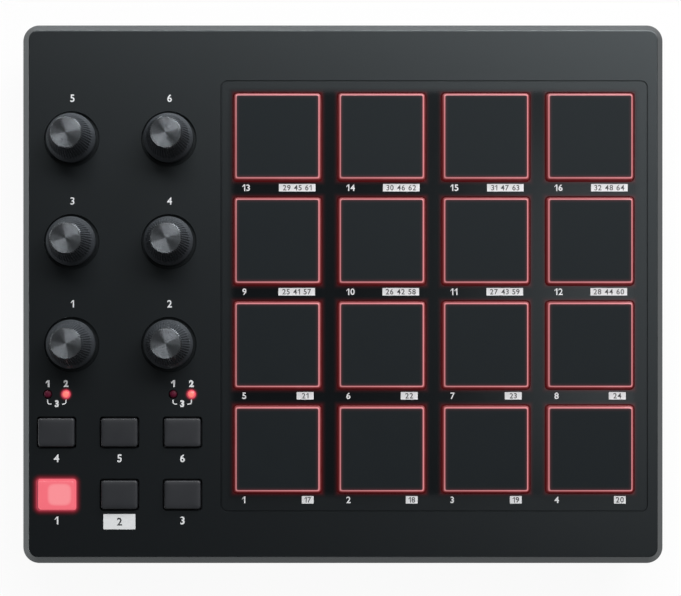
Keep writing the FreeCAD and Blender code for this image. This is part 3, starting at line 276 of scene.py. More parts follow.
class Recipe:
    """The nodes of one material or of the world."""

    def __init__(self, owner):
        owner.use_nodes = True
        self.tree = owner.node_tree
        self.tree.nodes.clear()

    def node(self, kind, options=None, values=None, output=0):
        """One node, its options set first, then its sockets from numbers, colours or wires."""
        made = self.tree.nodes.new(kind)
        for name, option in (options or {}).items():
            setattr(made, name, option)
        for name, value in (values or {}).items():
            if isinstance(value, Wire):
                self.tree.links.new(value.socket, made.inputs[name])
            else:
                made.inputs[name].default_value = value
        return Wire(self, made.outputs[output]) if made.outputs else None

    def math(self, operation, *terms):
        return self.node("ShaderNodeMath", {"operation": operation}, dict(enumerate(terms)))

    def vector(self, operation, *terms):
        return self.node("ShaderNodeVectorMath", {"operation": operation}, dict(enumerate(terms)))

    def mix(self, factor, first, second):
        """A colour between two others."""
        return self.node("ShaderNodeMix", {"data_type": "RGBA"}, {0: factor, 6: first, 7: second}, 2)

    def ramp(self, value, stops):
        """A colour that follows a value through stops, each a value and a colour."""
        low, high = stops[0][0], stops[-1][0]
        share_of = self.node("ShaderNodeMapRange", values={"Value": value, "From Min": low, "From Max": high})
        colours = self.node("ShaderNodeValToRGB", values={"Fac": share_of})
        points = colours.socket.node.color_ramp.elements
        points[0].color, points[1].color = stops[0][1], stops[-1][1]
        for stop, colour in stops[1:-1]:
            points.new((stop - low) / (high - low)).color = colour
        return colours

    def place(self):
        """Where a point of the piece is, in metres."""
        return self.node("ShaderNodeTexCoord", output="Object")

    def axes(self, point):
        """The three coordinates of a point."""
        parts = self.node("ShaderNodeSeparateXYZ", values={"Vector": point})
        return parts, Wire(self, parts.socket.node.outputs[1]), Wire(self, parts.socket.node.outputs[2])

    def noise(self, size, detail, point):
        """Soft noise from 0 to 1 whose grains are about that size."""
        return self.node("ShaderNodeTexNoise", values={"Vector": point, "Scale": 1 / size, "Detail": detail})

    def bump(self, height, distance, strength):
        """A normal that follows a pattern as if it stood that far out."""
        return self.node("ShaderNodeBump", values={"Height": height, "Distance": distance,
                                                   "Strength": strength})

    def surface(self, **values):
        """The surface itself; a name's underscores stand for spaces."""
        named = {name.replace("_", " "): value for name, value in values.items()}
        self.show("ShaderNodeOutputMaterial", self.node("ShaderNodeBsdfPrincipled", values=named))

    def show(self, kind, shader):
        """The output node that takes the finished shader."""
        self.node(kind, values={"Surface": shader})


def scaled(colour, factor):
    """A colour made lighter or darker."""
    return (*[channel * factor for channel in colour[:3]], 1.0)


# Light seen round every pad, by distance from the pad's middle; past the pad's side, where it falls on the
# case round the window, it is painted glow
BRIGHTEST_LINE = 15.38 * MM
RING_LIGHT = (
    (13.9 * MM, tone(0, 0, 0)),
    (14.5 * MM, tone(34, 8, 10)),
    (14.95 * MM, tone(60, 24, 26)),
    (15.15 * MM, tone(150, 88, 92)),
    (BRIGHTEST_LINE, tone(238, 158, 164)),
    (15.62 * MM, tone(150, 70, 72)),
    (15.9 * MM, tone(84, 16, 18)),
    (16.5 * MM, tone(66, 10, 13)),
    (17.2 * MM, tone(30, 3, 4)),
    (18.0 * MM, tone(0, 0, 0)),
)
# How square the corners of that light are
CORNER_POWER = 56


def ring_light(recipe, x, y):
    """Red light round the pads, with a painted highlight that makes it a little stronger towards each pad's
    right and rear sides, where the key light falls.
    """
    across = (x - FIELD.x + PAD_PITCH / 2).wrapped(PAD_PITCH)
    deep = (y - FIELD.y + PAD_PITCH / 2).wrapped(PAD_PITCH)
    powers = (abs(across) / BRIGHTEST_LINE) ** CORNER_POWER + (abs(deep) / BRIGHTEST_LINE) ** CORNER_POWER
    colour = recipe.ramp(powers ** (1 / CORNER_POWER) * BRIGHTEST_LINE, RING_LIGHT)
    # Painted highlight: the light is made stronger towards the right and rear, where the key light falls
    strength, right_highlight, rear_highlight = 0.9, 0.12, 0.03
    side = strength + across * (right_highlight / BRIGHTEST_LINE) + deep * (rear_highlight / BRIGHTEST_LINE)
    inside = (abs(x - FIELD.x) < 2 * PAD_PITCH) * (abs(y - FIELD.y) < 2 * PAD_PITCH)
    return recipe.mix(side * inside, BLACK, colour)


def case_plastic(recipe):
    """Black moulded plastic with a fine spark-eroded grain, and painted red glow where light from the pads,
    the lit button and the lit lamps falls on it.
    """
    case = settings().case
    place = recipe.place()
    x, y, z = recipe.axes(place)
    grain = recipe.noise(0.28 * MM, 3.0, place)
    cloud = recipe.noise(34 * MM, 3.0, place)
    colour = recipe.mix(cloud, scaled(case.plastic, 0.9), scaled(case.plastic, 1.1))
    # Painted glow: the panel's own emission stands in for the red light of the lit button and lamps falling
    # round them
    painted_spill = 0.0
    under_cap = 0.3 * MM
    for there, half_x, half_y, radius, reach in lit_places():
        off_x = (abs(x - there.x) - half_x).larger(0.0)
        off_y = (abs(y - there.y) - half_y).larger(0.0)
        distance = (off_x ** 2 + off_y ** 2) ** 0.5
        painted_spill = distance.fall(radius - under_cap, radius + reach) ** 2 + painted_spill
    faint_glow, full_glow = tone(140, 6, 30), tone(214, 80, 100)
    light = recipe.mix(painted_spill, ring_light(recipe, x, y), recipe.mix(painted_spill ** 2, faint_glow, full_glow))
    # The painted glow shows on the panel's face and the upper edges of its openings, not inside the case
    near_panel = z.rise(PANEL - 1.4 * MM, PANEL - 0.6 * MM)
    # The plastic is smoother between the pads than outside their field
    field_half = 1.5 * PAD_PITCH + 16 * MM
    fade_start, fade_end = field_half - 1 * MM, field_half + 3 * MM
    among_pads = abs(x - FIELD.x).larger(abs(y - FIELD.y)).fall(fade_start, fade_end)
    recipe.surface(Base_Color=colour,
                   Roughness=0.32 + grain * 0.1 - among_pads * 0.16,
                   Specular_IOR_Level=0.7,
                   Specular_Tint=COOL_SHINE,
                   Normal=recipe.bump(grain, 0.008 * MM, 0.4),
                   Emission_Color=recipe.mix(near_panel, BLACK, light),
                   Emission_Strength=1.0)


def base_plastic(recipe):
    """The same plastic on the bottom shell, a little coarser."""
    plastic = settings().case.plastic
    place = recipe.place()
    grain = recipe.noise(0.32 * MM, 3.0, place)
    cloud = recipe.noise(30 * MM, 3.0, place)
    recipe.surface(Base_Color=recipe.mix(cloud, scaled(plastic, 0.9), scaled(plastic, 1.2)),
                   Roughness=0.42 + grain * 0.12,
                   Specular_Tint=COOL_SHINE,
                   Normal=recipe.bump(grain, 0.012 * MM, 0.5))


def lit_places():
    """Middle, half width, half depth, corner and reach of the painted glow round the lit button and lamps."""
    button = (middle(f"button_{LIT_BUTTON}"), 6.0 * MM, 4.5 * MM, 0.9 * MM, 3.2 * MM)
    return [button, *[(lamp_place(number), 0.0, 0.0, 1.6 * MM, 1.3 * MM) for number in LIT_LAMPS]]


def pad_rubber(recipe):
    """Matt black top layer of a pad, with a velvety grain and red light at its edges."""
    pads = settings().pads
    place = recipe.place()
    x, y = recipe.axes(place)[:2]
    grain = recipe.noise(0.22 * MM, 2.0, place)
    cloud = recipe.noise(9 * MM, 4.0, place)
    colour = recipe.mix(cloud, scaled(pads.rubber, 0.92), scaled(pads.rubber, 1.08))
    recipe.surface(Base_Color=colour,
                   Roughness=0.56 + cloud * 0.08,
                   Specular_IOR_Level=0.22,
                   Specular_Tint=PAD_SHINE,
                   Normal=recipe.bump(grain, 0.01 * MM, 0.5),
                   Emission_Color=ring_light(recipe, x, y),
                   Emission_Strength=1.0)


def pad_glow(recipe):
    """Clear silicone side of a pad, lit from within."""
    place = recipe.place()
    x, y = recipe.axes(place)[:2]
    grain = recipe.noise(0.4 * MM, 2.0, place)
    patch = recipe.noise(5 * MM, 2.0, place)
    recipe.surface(Base_Color=recipe.mix(patch, tone(92, 50, 52), tone(108, 60, 62)),
                   Roughness=0.42 + patch * 0.1,
                   Normal=recipe.bump(grain, 0.01 * MM, 0.5),
                   Emission_Color=ring_light(recipe, x, y),
                   Emission_Strength=1.0)


def button_rubber(recipe):
    """Dark silicone of the unlit buttons."""
    rubber = settings().buttons.rubber
    place = recipe.place()
    grain = recipe.noise(0.2 * MM, 2.0, place)
    cloud = recipe.noise(6 * MM, 3.0, place)
    recipe.surface(Base_Color=recipe.mix(cloud, scaled(rubber, 0.9), scaled(rubber, 1.1)),
                   Roughness=0.44 + cloud * 0.1,
                   Normal=recipe.bump(grain, 0.008 * MM, 0.5))


def button_glow(recipe):
    """The lit button: brightest over the lamp beside its middle, deeper red towards its edges."""
    buttons = settings().buttons
    place = recipe.place()
    x, y = recipe.axes(place)[:2]
    centre = middle(f"button_{LIT_BUTTON}")
    core_x, core_y = centre.x + 1.3 * MM, centre.y + 0.1 * MM
    core_half_width, core_half_depth = 4.3 * MM, 4.0 * MM
    squareness = 4
    off_x = abs(x - core_x) / core_half_width
    off_y = abs(y - core_y) / core_half_depth
    core = (off_x ** squareness + off_y ** squareness).fall(0.35, 1.5)
    grain = recipe.noise(0.2 * MM, 2.0, place)
    cloud = recipe.noise(4 * MM, 2.0, place)
    recipe.surface(Base_Color=recipe.mix(cloud, tone(70, 12, 20), tone(80, 16, 24)),
                   Roughness=0.45 + cloud * 0.1,
                   Normal=recipe.bump(grain, 0.008 * MM, 0.5),
                   Emission_Color=recipe.mix(core, buttons.lit_edge, buttons.lit_core),
                   Emission_Strength=1.0)


def knob_plastic(recipe):
    """Satin black plastic of the knobs."""
    plastic = settings().knobs.plastic
    place = recipe.place()
    grain = recipe.noise(0.25 * MM, 2.0, place)
    cloud = recipe.noise(5 * MM, 3.0, place)
    recipe.surface(Base_Color=recipe.mix(cloud, scaled(plastic, 0.9), scaled(plastic, 1.15)),
                   Roughness=0.26 + cloud * 0.08,
                   Specular_IOR_Level=0.35,
                   Specular_Tint=COOL_SHINE,
                   Normal=recipe.bump(grain, 0.008 * MM, 0.5))


def knob_metal(recipe):
    """Turned metal disc: fine rings round the knob's axis spread its highlights into wedges."""
    metal = settings().knobs.metal
    place = recipe.place()
    x, y = recipe.axes(place)[:2]
    first = middle("knob_1")
    off_x = (x - first.x).wrapped(KNOB_PITCH_X)
    off_y = (y - first.y).wrapped(KNOB_PITCH_Y)
    # The small addition keeps the radius above zero at the axis, where it divides
    radius = (off_x ** 2 + off_y ** 2) ** 0.5 + 0.01 * MM
    ring_pitch, steepness, face_radius = 0.11 * MM, 1.3, 5.46 * MM
    tilt = radius.wrapped(ring_pitch) * (steepness / ring_pitch) * (radius < face_radius)
    outwards = recipe.node("ShaderNodeCombineXYZ", values={"X": off_x / radius, "Y": off_y / radius})
    in_world = recipe.node("ShaderNodeVectorTransform", {"vector_type": "VECTOR", "convert_from": "OBJECT",
                                                         "convert_to": "WORLD"}, {"Vector": outwards})
    lean = recipe.node("ShaderNodeVectorMath", {"operation": "SCALE"}, {0: in_world, "Scale": tilt})
    normal = recipe.node("ShaderNodeNewGeometry", output="Normal")
    cloud = recipe.noise(3 * MM, 3.0, place)
    recipe.surface(Base_Color=recipe.mix(cloud, scaled(metal, 0.92), scaled(metal, 1.08)),
                   Metallic=0.78,
                   Roughness=0.18 + cloud * 0.06,
                   Normal=recipe.vector("NORMALIZE", recipe.vector("ADD", normal, lean)))


def print_ink(recipe):
    """Screen-printed white, a little uneven."""
    ink = settings().prints.ink
    place = recipe.place()
    cloud = recipe.noise(0.8 * MM, 3.0, place)
    recipe.surface(Base_Color=recipe.mix(cloud, scaled(ink, 0.9), ink), Roughness=0.5 + cloud * 0.1)


def dark_ink(recipe):
    """Dark figure on a white tag."""
    place = recipe.place()
    cloud = recipe.noise(0.8 * MM, 3.0, place)
    recipe.surface(Base_Color=recipe.mix(cloud, tone(44, 46, 50), tone(60, 62, 66)),
                   Roughness=0.5 + cloud * 0.1)


def lamp_lit(recipe):
    """Lit lens, palest at its middle."""
    z = recipe.axes(recipe.place())[2]
    dome = z.rise(PANEL - 0.1 * MM, PANEL + 0.5 * MM)
    recipe.surface(Base_Color=tone(150, 30, 40),
                   Roughness=0.3 + dome * 0.05,
                   Emission_Color=recipe.mix(dome, tone(204, 78, 96), tone(248, 134, 120)),
                   Emission_Strength=1.0)


def lamp_unlit(recipe):
    """Deep red lens that is off."""
    z = recipe.axes(recipe.place())[2]
    dome = z.rise(PANEL, PANEL + 0.5 * MM)
    recipe.surface(Base_Color=recipe.mix(dome, tone(60, 6, 24), tone(92, 14, 44)),
                   Roughness=0.5 + dome * 0.08,
                   Specular_IOR_Level=0.2)


def metal_finish(colour, roughness):
    """A maker of plated or bare metal with fine handling marks."""
    def build(recipe):
        place = recipe.place()
        cloud = recipe.noise(6 * MM, 4.0, place)
        marks = recipe.noise(0.5 * MM, 3.0, place)
        recipe.surface(Base_Color=recipe.mix(cloud, scaled(colour, 0.85), scaled(colour, 1.1)),
                       Metallic=1.0,
                       Roughness=roughness + marks * 0.15,
                       Normal=recipe.bump(marks, 0.006 * MM, 0.4))
    return build


def moulded_finish(colour, roughness, grain_size=0.3 * MM, depth=0.01 * MM):
    """A maker of plain moulded plastic or rubber with a fine grain."""
    def build(recipe):
        place = recipe.place()
        grain = recipe.noise(grain_size, 2.0, place)
        cloud = recipe.noise(12 * MM, 3.0, place)
        recipe.surface(Base_Color=recipe.mix(cloud, scaled(colour, 0.88), scaled(colour, 1.12)),
                       Roughness=roughness + grain * 0.1,
                       Normal=recipe.bump(grain, depth, 0.5))
    return build


def board_green(recipe):
    """Green lacquered circuit board with fine copper tracks under the lacquer."""
    place = recipe.place()
    tracks = recipe.node("ShaderNodeTexBrick", {"offset": 0.5},
                         {"Vector": place, "Scale": 60.0, "Mortar Size": 0.05, "Color1": BLACK,
                          "Color2": BLACK, "Mortar": WHITE}, "Fac")
    weave = recipe.noise(0.6 * MM, 2.0, place)
    recipe.surface(Base_Color=recipe.mix(tracks, tone(18, 62, 38), tone(34, 92, 54)),
                   Roughness=0.3 + weave * 0.12,
                   Normal=recipe.bump(tracks, 0.02 * MM, 0.4))


def sensor_amber(recipe):
    """Amber polyimide film with the dark printed grid of the pressure sensor."""
    x, y = recipe.axes(recipe.place())[:2]
    pitch, half_bar, half_link = 1.2 * MM, 0.3 * MM, 0.12 * MM
    line = (abs(x.wrapped(pitch)) < half_bar).larger(abs(y.wrapped(pitch)) < half_link)
    recipe.surface(Base_Color=recipe.mix(line, tone(170, 104, 30), tone(52, 38, 24)),
                   Roughness=0.32 + line * 0.3)


def ribbon_grey(recipe):
    """Grey flat cable, ribbed along its wires, with painted shade that darkens the grey in the grooves
    between them.
    """
    x = recipe.axes(recipe.place())[0]
    pitch = 1.0 * MM
    groove = abs(x.wrapped(pitch)) / (pitch / 2)
    # Painted shade: the grey is darker in the grooves between the wires
    recipe.surface(Base_Color=recipe.mix(groove, tone(168, 170, 172), tone(118, 120, 124)),
                   Roughness=0.45 + groove * 0.1,
                   Normal=recipe.bump(1 - groove, 0.15 * MM, 0.8))


FINISHES = {
    "case_plastic": case_plastic,
    "base_plastic": base_plastic,
    "pad_rubber": pad_rubber,
    "pad_glow": pad_glow,
    "button_rubber": button_rubber,
    "button_glow": button_glow,
    "knob_plastic": knob_plastic,
    "knob_metal": knob_metal,
    "print_ink": print_ink,
    "dark_ink": dark_ink,
    "lamp_lit": lamp_lit,
    "lamp_unlit": lamp_unlit,
    "bright_metal": metal_finish(tone(196, 198, 202), 0.22),
    "black_screw": metal_finish(tone(48, 48, 52), 0.34),
    "gold_contact": metal_finish(tone(214, 168, 82), 0.2),
    "foot_rubber": moulded_finish(tone(30, 30, 31), 0.62, 0.5 * MM, 0.02 * MM),
    "socket_plastic": moulded_finish(tone(34, 34, 36), 0.4),
    "mat_silicone": moulded_finish(tone(84, 86, 90), 0.5),
    "lamp_white": moulded_finish(tone(214, 210, 188), 0.3),
    "chip_black": moulded_finish(tone(26, 26, 28), 0.5),
    "board_green": board_green,
    "sensor_amber": sensor_amber,
    "ribbon_grey": ribbon_grey,
}


def finish(name):
    """The named material, made when it is first asked for."""
    full_name = f"{name}_finish"
    material = bpy.data.materials.get(full_name)
    if material is None:
        material = bpy.data.materials.new(full_name)
        FINISHES[name](Recipe(material))
    return material


def outline(bm, width, depth, corner, height, place, segments):
    """A flat face with rounded corners."""
    before = set(bm.faces)
    verts = bmesh.ops.create_grid(bm, x_segments=1, y_segments=1, size=0.5)["verts"]
    bmesh.ops.scale(bm, vec=(width, depth, 1), verts=verts)
    bmesh.ops.translate(bm, vec=(place[0], place[1], height), verts=verts)
    if corner:
        bmesh.ops.bevel(bm, geom=verts, offset=corner, segments=segments, profile=0.5, affect="VERTICES",
                        material=-1)
    return next(face for face in bm.faces if face not in before)


def round_outline(bm, radius, height, place, segments):
    """A flat round face."""
    before = set(bm.faces)
    verts = bmesh.ops.create_circle(bm, cap_ends=True, segments=segments, radius=radius)["verts"]
    bmesh.ops.translate(bm, vec=(place[0], place[1], height), verts=verts)
    return next(face for face in bm.faces if face not in before)


def join_outlines(bm, faces, ring=False):
    """Walls from each outline to the next; a ring also joins its last outline to its first."""
    loops = [list(face.edges) for face in faces]
    followers = loops[1:] + loops[:1] if ring else loops[1:]
    bmesh.ops.delete(bm, geom=faces if ring else faces[1:-1], context="FACES_ONLY")
    for lower, upper in zip(loops, followers):
        bmesh.ops.bridge_loops(bm, edges=[*lower, *upper])


def block(bm, sections, place=(0.0, 0.0), segments=8, ring=False):
    """A solid through rounded outlines, each a width, a depth, a corner and a height."""
    join_outlines(bm, [outline(bm, *section, place, segments) for section in sections], ring)


def peg(bm, sections, place, segments=32):
    """A round solid through circles, each a radius and a height."""
    join_outlines(bm, [round_outline(bm, *section, place, segments) for section in sections])


def box(bm, low, high):
    """A plain cutting block between two corners."""
    low, high = Vector(low), Vector(high)
    verts = bmesh.ops.create_cube(bm, size=1.0)["verts"]
    bmesh.ops.scale(bm, vec=high - low, verts=verts)
    bmesh.ops.translate(bm, vec=(low + high) / 2, verts=verts)


def along_y(edge):
    """Whether an edge runs from front to rear."""
    least_run = 1 * MM
    return abs(edge.verts[0].co.y - edge.verts[1].co.y) > least_run


def round_edges(bm, width, segments, chosen):
    """Round the edges that pass a test. Faces that point both ways would turn a rounding outwards."""
    bmesh.ops.recalc_face_normals(bm, faces=bm.faces)
    edges = [edge for edge in bm.edges if chosen(edge)]
    bmesh.ops.bevel(bm, geom=edges, offset=width, offset_type="OFFSET", segments=segments, profile=0.5,
                    affect="EDGES", material=-1, clamp_overlap=True)


def level(height):
    """A test that an edge lies at one height."""
    return lambda edge: all(abs(vert.co.z - height) < ALMOST for vert in edge.verts)


# Points nearer than this become one
WELD = 0.0005 * MM


def turned(profile, steps, place=(0.0, 0.0), closed=False):
    """A form spun round an upright axis from points of radius and height."""
    bm = bmesh.new()
    points = [bm.verts.new((radius, 0.0, height)) for radius, height in profile]
    followers = points[1:] + points[:1] if closed else points[1:]
    edges = [bm.edges.new(pair) for pair in zip(points, followers)]
    bmesh.ops.spin(bm, geom=[*points, *edges], cent=(0, 0, 0), axis=(0, 0, 1), angle=math.tau, steps=steps,
                   use_merge=True)
    bmesh.ops.remove_doubles(bm, verts=bm.verts, dist=WELD)
    # The spin leaves its faces in another order in each run
    bm.verts.index_update()
    count = len(bm.verts)
    bm.faces.sort(key=lambda face: face.verts[0].index * count + face.verts[2].index)
    bmesh.ops.translate(bm, vec=(place[0], place[1], 0), verts=bm.verts)
    return bm


def solid(bm):
    """A scene object for a form that a boolean uses."""
    bmesh.ops.recalc_face_normals(bm, faces=bm.faces)
    mesh = bpy.data.meshes.new("form")
    bm.to_mesh(mesh)
    bm.free()
    made = bpy.data.objects.new("form", mesh)
    bpy.context.scene.collection.objects.link(made)
    return made


def combined(target, *steps):
    """The target after each step, which is an operation and the form that it uses."""
    base = solid(target)
    tools = []
    for operation, form in steps:
        tools.append(solid(form))
        modifier = base.modifiers.new(operation.lower(), "BOOLEAN")
        modifier.operation = operation
        modifier.solver = "EXACT"
        modifier.object = tools[-1]
    bpy.context.view_layer.update()
    mesh = bpy.data.meshes.new_from_object(base.evaluated_get(bpy.context.evaluated_depsgraph_get()))
    fewest_faces = 6
    if len(mesh.polygons) < fewest_faces:
        raise RuntimeError(f"the {[operation for operation, form in steps]} steps left no solid")
    result = bmesh.new()
    result.from_mesh(mesh)
    bpy.data.meshes.remove(mesh)
    for used in (base, *tools):
        bpy.data.meshes.remove(used.data)
    return result


def add_piece(name, bm, body, finishes, replaced=(), angle=SHARP_ANGLE, even=False):
    """A finished piece on its body: faces out, smooth shading, materials and replaced nodes."""
    bmesh.ops.recalc_face_normals(bm, faces=bm.faces)
    mesh = bpy.data.meshes.new(name)
    bm.to_mesh(mesh)
    bm.free()
    for material in finishes:
        mesh.materials.append(finish(material))
    mesh.shade_smooth()
    mesh.set_sharp_from_angle(angle=angle)
    piece = bpy.data.objects.new(name, mesh)
    bpy.context.scene.collection.objects.link(piece)
    if even:
        modifier = piece.modifiers.new("even shading", "WEIGHTED_NORMAL")
        modifier.keep_sharp = True
    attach(piece, body)
    if replaced:
        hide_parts(*replaced)


def case_outline(inset, height):
    """Section of a shell whose outline is drawn in by a distance."""
    least_corner = 0.4 * MM
    corner = max(settings().case.corner - inset, least_corner)
    return CASE_WIDTH - 2 * inset, CASE_DEPTH - 2 * inset, corner, height


# Lamps stand in two pairs; the right lamp of each pair is lit
LAMP_COUNT = 4
LIT_LAMPS = (2, 4)
LAMP_PAIR = 6.8 * MM
LAMP_RADIUS = 1.5 * MM
LAMP_COLLAR = 1.9 * MM
LAMP_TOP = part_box("bank_lamps")[1].z


def lamp_place(number):
    """Middle of a lamp, counted from the left."""
    low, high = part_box("bank_lamps")
    left, right = low.x + LAMP_COLLAR, high.x - LAMP_COLLAR
    xs = (left, left + LAMP_PAIR, right - LAMP_PAIR, right)
    return Vector((xs[number - 1], (low.y + high.y) / 2, LAMP_TOP))


# Places of the screws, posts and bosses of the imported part
POST_X = 109 * MM
POST_Y = 90.5 * MM
POSTS = [(across * POST_X, deep * POST_Y) for across in (-1, 0, 1) for deep in (-1, 1)]
PAD_BOSSES = [(FIELD.x + across * PAD_PITCH, FIELD.y + deep * PAD_PITCH)
              for across, deep in ((-1, -1), (1, -1), (0, 0), (-1, 1), (1, 1))]
KNOB_COLUMN = (middle("knob_1").x + middle("knob_2").x) / 2
BUTTON_ROW = (middle("button_1").y + middle("button_4").y) / 2
CONTROL_BOSSES = [
    (KNOB_COLUMN, middle("knob_3").y + 47.4 * MM),
    (KNOB_COLUMN, middle("knob_3").y),
    (KNOB_COLUMN, middle("bank_lamps").y),
    ((middle("button_1").x + middle("button_2").x) / 2, BUTTON_ROW),
    ((middle("button_2").x + middle("button_3").x) / 2, BUTTON_ROW),
]
MAIN_BOARD = middle("main_board")
COLUMN_X = 32 * MM
COLUMN_Y = 18.5 * MM
MAIN_COLUMNS = [(MAIN_BOARD.x + across * COLUMN_X, MAIN_BOARD.y + deep * COLUMN_Y)
                for across in (-1, 1) for deep in (-1, 1)]
BOSS_RADIUS = 2.8 * MM
PILOT_RADIUS = 0.95 * MM
PILOT_DEPTH = 3.2 * MM
PILOT_SEGMENTS = 12
# Height of the flanges that hold pads and buttons under the panel
FLANGE_HEIGHT = 1 * MM
# Height on which the case screws' heads sit
SCREW_SEAT = 6 * MM
USB = middle("usb_socket")
USB_HALF = 6.4 * MM
USB_PLAY = 0.4 * MM
LOCK = middle("lock_slot_plate")
# How far most cutters reach past the form that they cut
PAST = 1 * MM
# Lower and upper end of the cutters for the panel's openings
OPENING_LOW = PANEL - 4 * MM
OPENING_HIGH = PANEL + 2 * MM


def window_cutter(bm, width, depth, corner, place):
    """A cutter for one window, wider at the panel's face so that the edge is broken."""
    edge = settings().case.window_edge
    block(bm, [(width, depth, corner, OPENING_LOW), (width, depth, corner, PANEL - edge),
               (width + 2 * edge, depth + 2 * edge, corner + edge, PANEL),
               (width + 2 * edge, depth + 2 * edge, corner + edge, OPENING_HIGH)], place, segments=6)


def hole_cutter(bm, radius, place):
    """A cutter for one round hole, with the same broken edge."""
    edge = settings().case.window_edge
    peg(bm, [(radius, OPENING_LOW), (radius, PANEL - edge), (radius + edge, PANEL),
             (radius + edge, OPENING_HIGH)], place)


def field_line_cutter(bm):
    """The moulded line round the pads, wider at the face than at its floor."""
    case = settings().case
    low, high = PANEL - case.line_depth, PANEL + PAST
    sections = []
    # How far each section lies outside the line's middle, as a share of the line's width
    for offset, height in ((0.25, low), (0.5, PANEL), (0.5, high), (-0.5, high), (-0.5, PANEL), (-0.25, low)):
        grow = offset * case.line_width
        sections.append((case.frame_width + 2 * grow, case.frame_depth + 2 * grow, case.line_corner + grow,
                         height))
    block(bm, sections, (case.line_x, case.line_y), ring=True)


def knob_groove_cutter(bm, place):
    """The groove under the rim of a knob's skirt."""
    case = settings().case
    outer, inner = case.knob_groove, case.knob_groove - case.groove_width
    edge = case.window_edge
    low, high = PANEL - case.groove_depth, PANEL + PAST
    profile = [(outer - edge, low), (outer - edge, PANEL - edge), (outer, PANEL), (outer, high),
               (inner, high), (inner, low)]
    segments = 96
    ring = turned(profile, segments, place, closed=True)
    mesh = bpy.data.meshes.new("ring")
    ring.to_mesh(mesh)
    ring.free()
    bm.from_mesh(mesh)
    bpy.data.meshes.remove(mesh)


class PieceOperator(bpy.types.Operator):
    """What every operator of the pad controller shares."""

    bl_options = {"REGISTER", "UNDO"}


class CONTROLLER_OT_top_shell(PieceOperator):
    """Build the moulded top shell with its rim, windows, field line, posts and bosses"""

    bl_idname = "controller.top_shell"
    bl_label = "Top shell"

    def execute(self, context):
        case = settings().case
        ceiling = PANEL - case.panel
        rim_foot = PANEL - case.rim_drop
        outer = bmesh.new()
        block(outer, [case_outline(0, SEAM), case_outline(0, rim_foot), case_outline(case.rim_width, PANEL)],
              segments=14)
        round_edges(outer, case.panel_round, 4, level(PANEL))
        round_edges(outer, case.rim_round, 4, level(rim_foot))
        round_edges(outer, case.seam_round, 3, level(SEAM))

        hollow = bmesh.new()
        lip_room = case.wall - 1.25 * MM
        lip_room_top = SEAM + 2.3 * MM
        block(hollow, [case_outline(lip_room, SEAM - 2 * PAST), case_outline(lip_room, lip_room_top),
                       case_outline(case.wall, lip_room_top), case_outline(case.wall, ceiling)])
        # The grooves are a step of their own, because the solver skips some when all cutters are one form
        shell = combined(outer, ("DIFFERENCE", hollow), ("UNION", self.supports(ceiling)),
                         ("DIFFERENCE", self.openings()), ("DIFFERENCE", self.grooves()))
        add_piece("top_shell", shell, "case", ["case_plastic"], ["top_case"], even=True)
        return {"FINISHED"}

    def bosses(self):
        """Place and lower end of every boss that holds a board."""
        pad_board_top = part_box("pad_board")[1].z
        under_pads = [(place, pad_board_top) for place in PAD_BOSSES]
        return under_pads + [(place, BOARD_TOP) for place in CONTROL_BOSSES]

    def supports(self, ceiling):
        """The frame round the pad board, the bosses and the screw posts, rooted in the panel."""
        bm = bmesh.new()
        rooted = ceiling + 0.5 * MM
        frame_foot = ceiling - 6.5 * MM
        low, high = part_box("pad_board")
        gap, rib, corner = 0.7 * MM, 3.2 * MM, 0.3 * MM
        block(bm, [(high.x - low.x + gap + grow, high.y - low.y + gap + grow, corner, height)
                   for grow, height in ((rib, frame_foot), (rib, rooted), (0, rooted), (0, frame_foot))],
              (FIELD.x, FIELD.y), segments=2, ring=True)
        for place, foot in self.bosses():
            peg(bm, [(BOSS_RADIUS, foot), (BOSS_RADIUS, rooted)], place)
        post_radius = 3.5 * MM
        for place in POSTS:
            peg(bm, [(post_radius, SEAM), (post_radius, rooted)], place)
        return bm

    def openings(self):
        """Cutters for the windows, holes, field line, pilot holes and rear openings."""
        case, buttons = settings().case, settings().buttons
        bm = bmesh.new()
        for number in PAD_NUMBERS:
            window_cutter(bm, case.window, case.window, case.window_corner, middle(f"pad_{number:02d}"))
        for number in BUTTON_NUMBERS:
            window_cutter(bm, CAP_WIDTH + 2 * buttons.gap, CAP_DEPTH + 2 * buttons.gap,
                          buttons.corner + 0.2 * MM, middle(f"button_{number}"))
        bush_hole, lens_hole = 3.9 * MM, 1.65 * MM
        for number in KNOB_NUMBERS:
            hole_cutter(bm, bush_hole, middle(f"knob_{number}"))
        for number in range(1, LAMP_COUNT + 1):
            hole_cutter(bm, lens_hole, lamp_place(number))
        field_line_cutter(bm)
        for place, foot in self.bosses():
            peg(bm, [(PILOT_RADIUS, foot - PAST), (PILOT_RADIUS, foot + PILOT_DEPTH)], place, PILOT_SEGMENTS)
        post_hole, post_hole_depth = 1.25 * MM, 7.4 * MM
        for place in POSTS:
            peg(bm, [(post_hole, SEAM - PAST), (post_hole, SEAM + post_hole_depth)], place, 16)
        rear = CASE_HIGH.y
        usb_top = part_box("usb_socket")[1].z + USB_PLAY
        inwards, outwards = 6 * MM, 4 * MM
        box(bm, (USB.x - USB_HALF, rear - inwards, SEAM - 2 * PAST),
            (USB.x + USB_HALF, rear + outwards, usb_top))
        half_slot, half_height, through_wall = 3.5 * MM, 1.5 * MM, 3 * MM
        box(bm, (LOCK.x - half_slot, rear - through_wall, LOCK.z - half_height),
            (LOCK.x + half_slot, rear + through_wall, LOCK.z + half_height))
        return bm

    def grooves(self):
        """Cutters for the grooves under the knobs' skirts."""
        bm = bmesh.new()
        for number in KNOB_NUMBERS:
            knob_groove_cutter(bm, middle(f"knob_{number}"))
        return bm


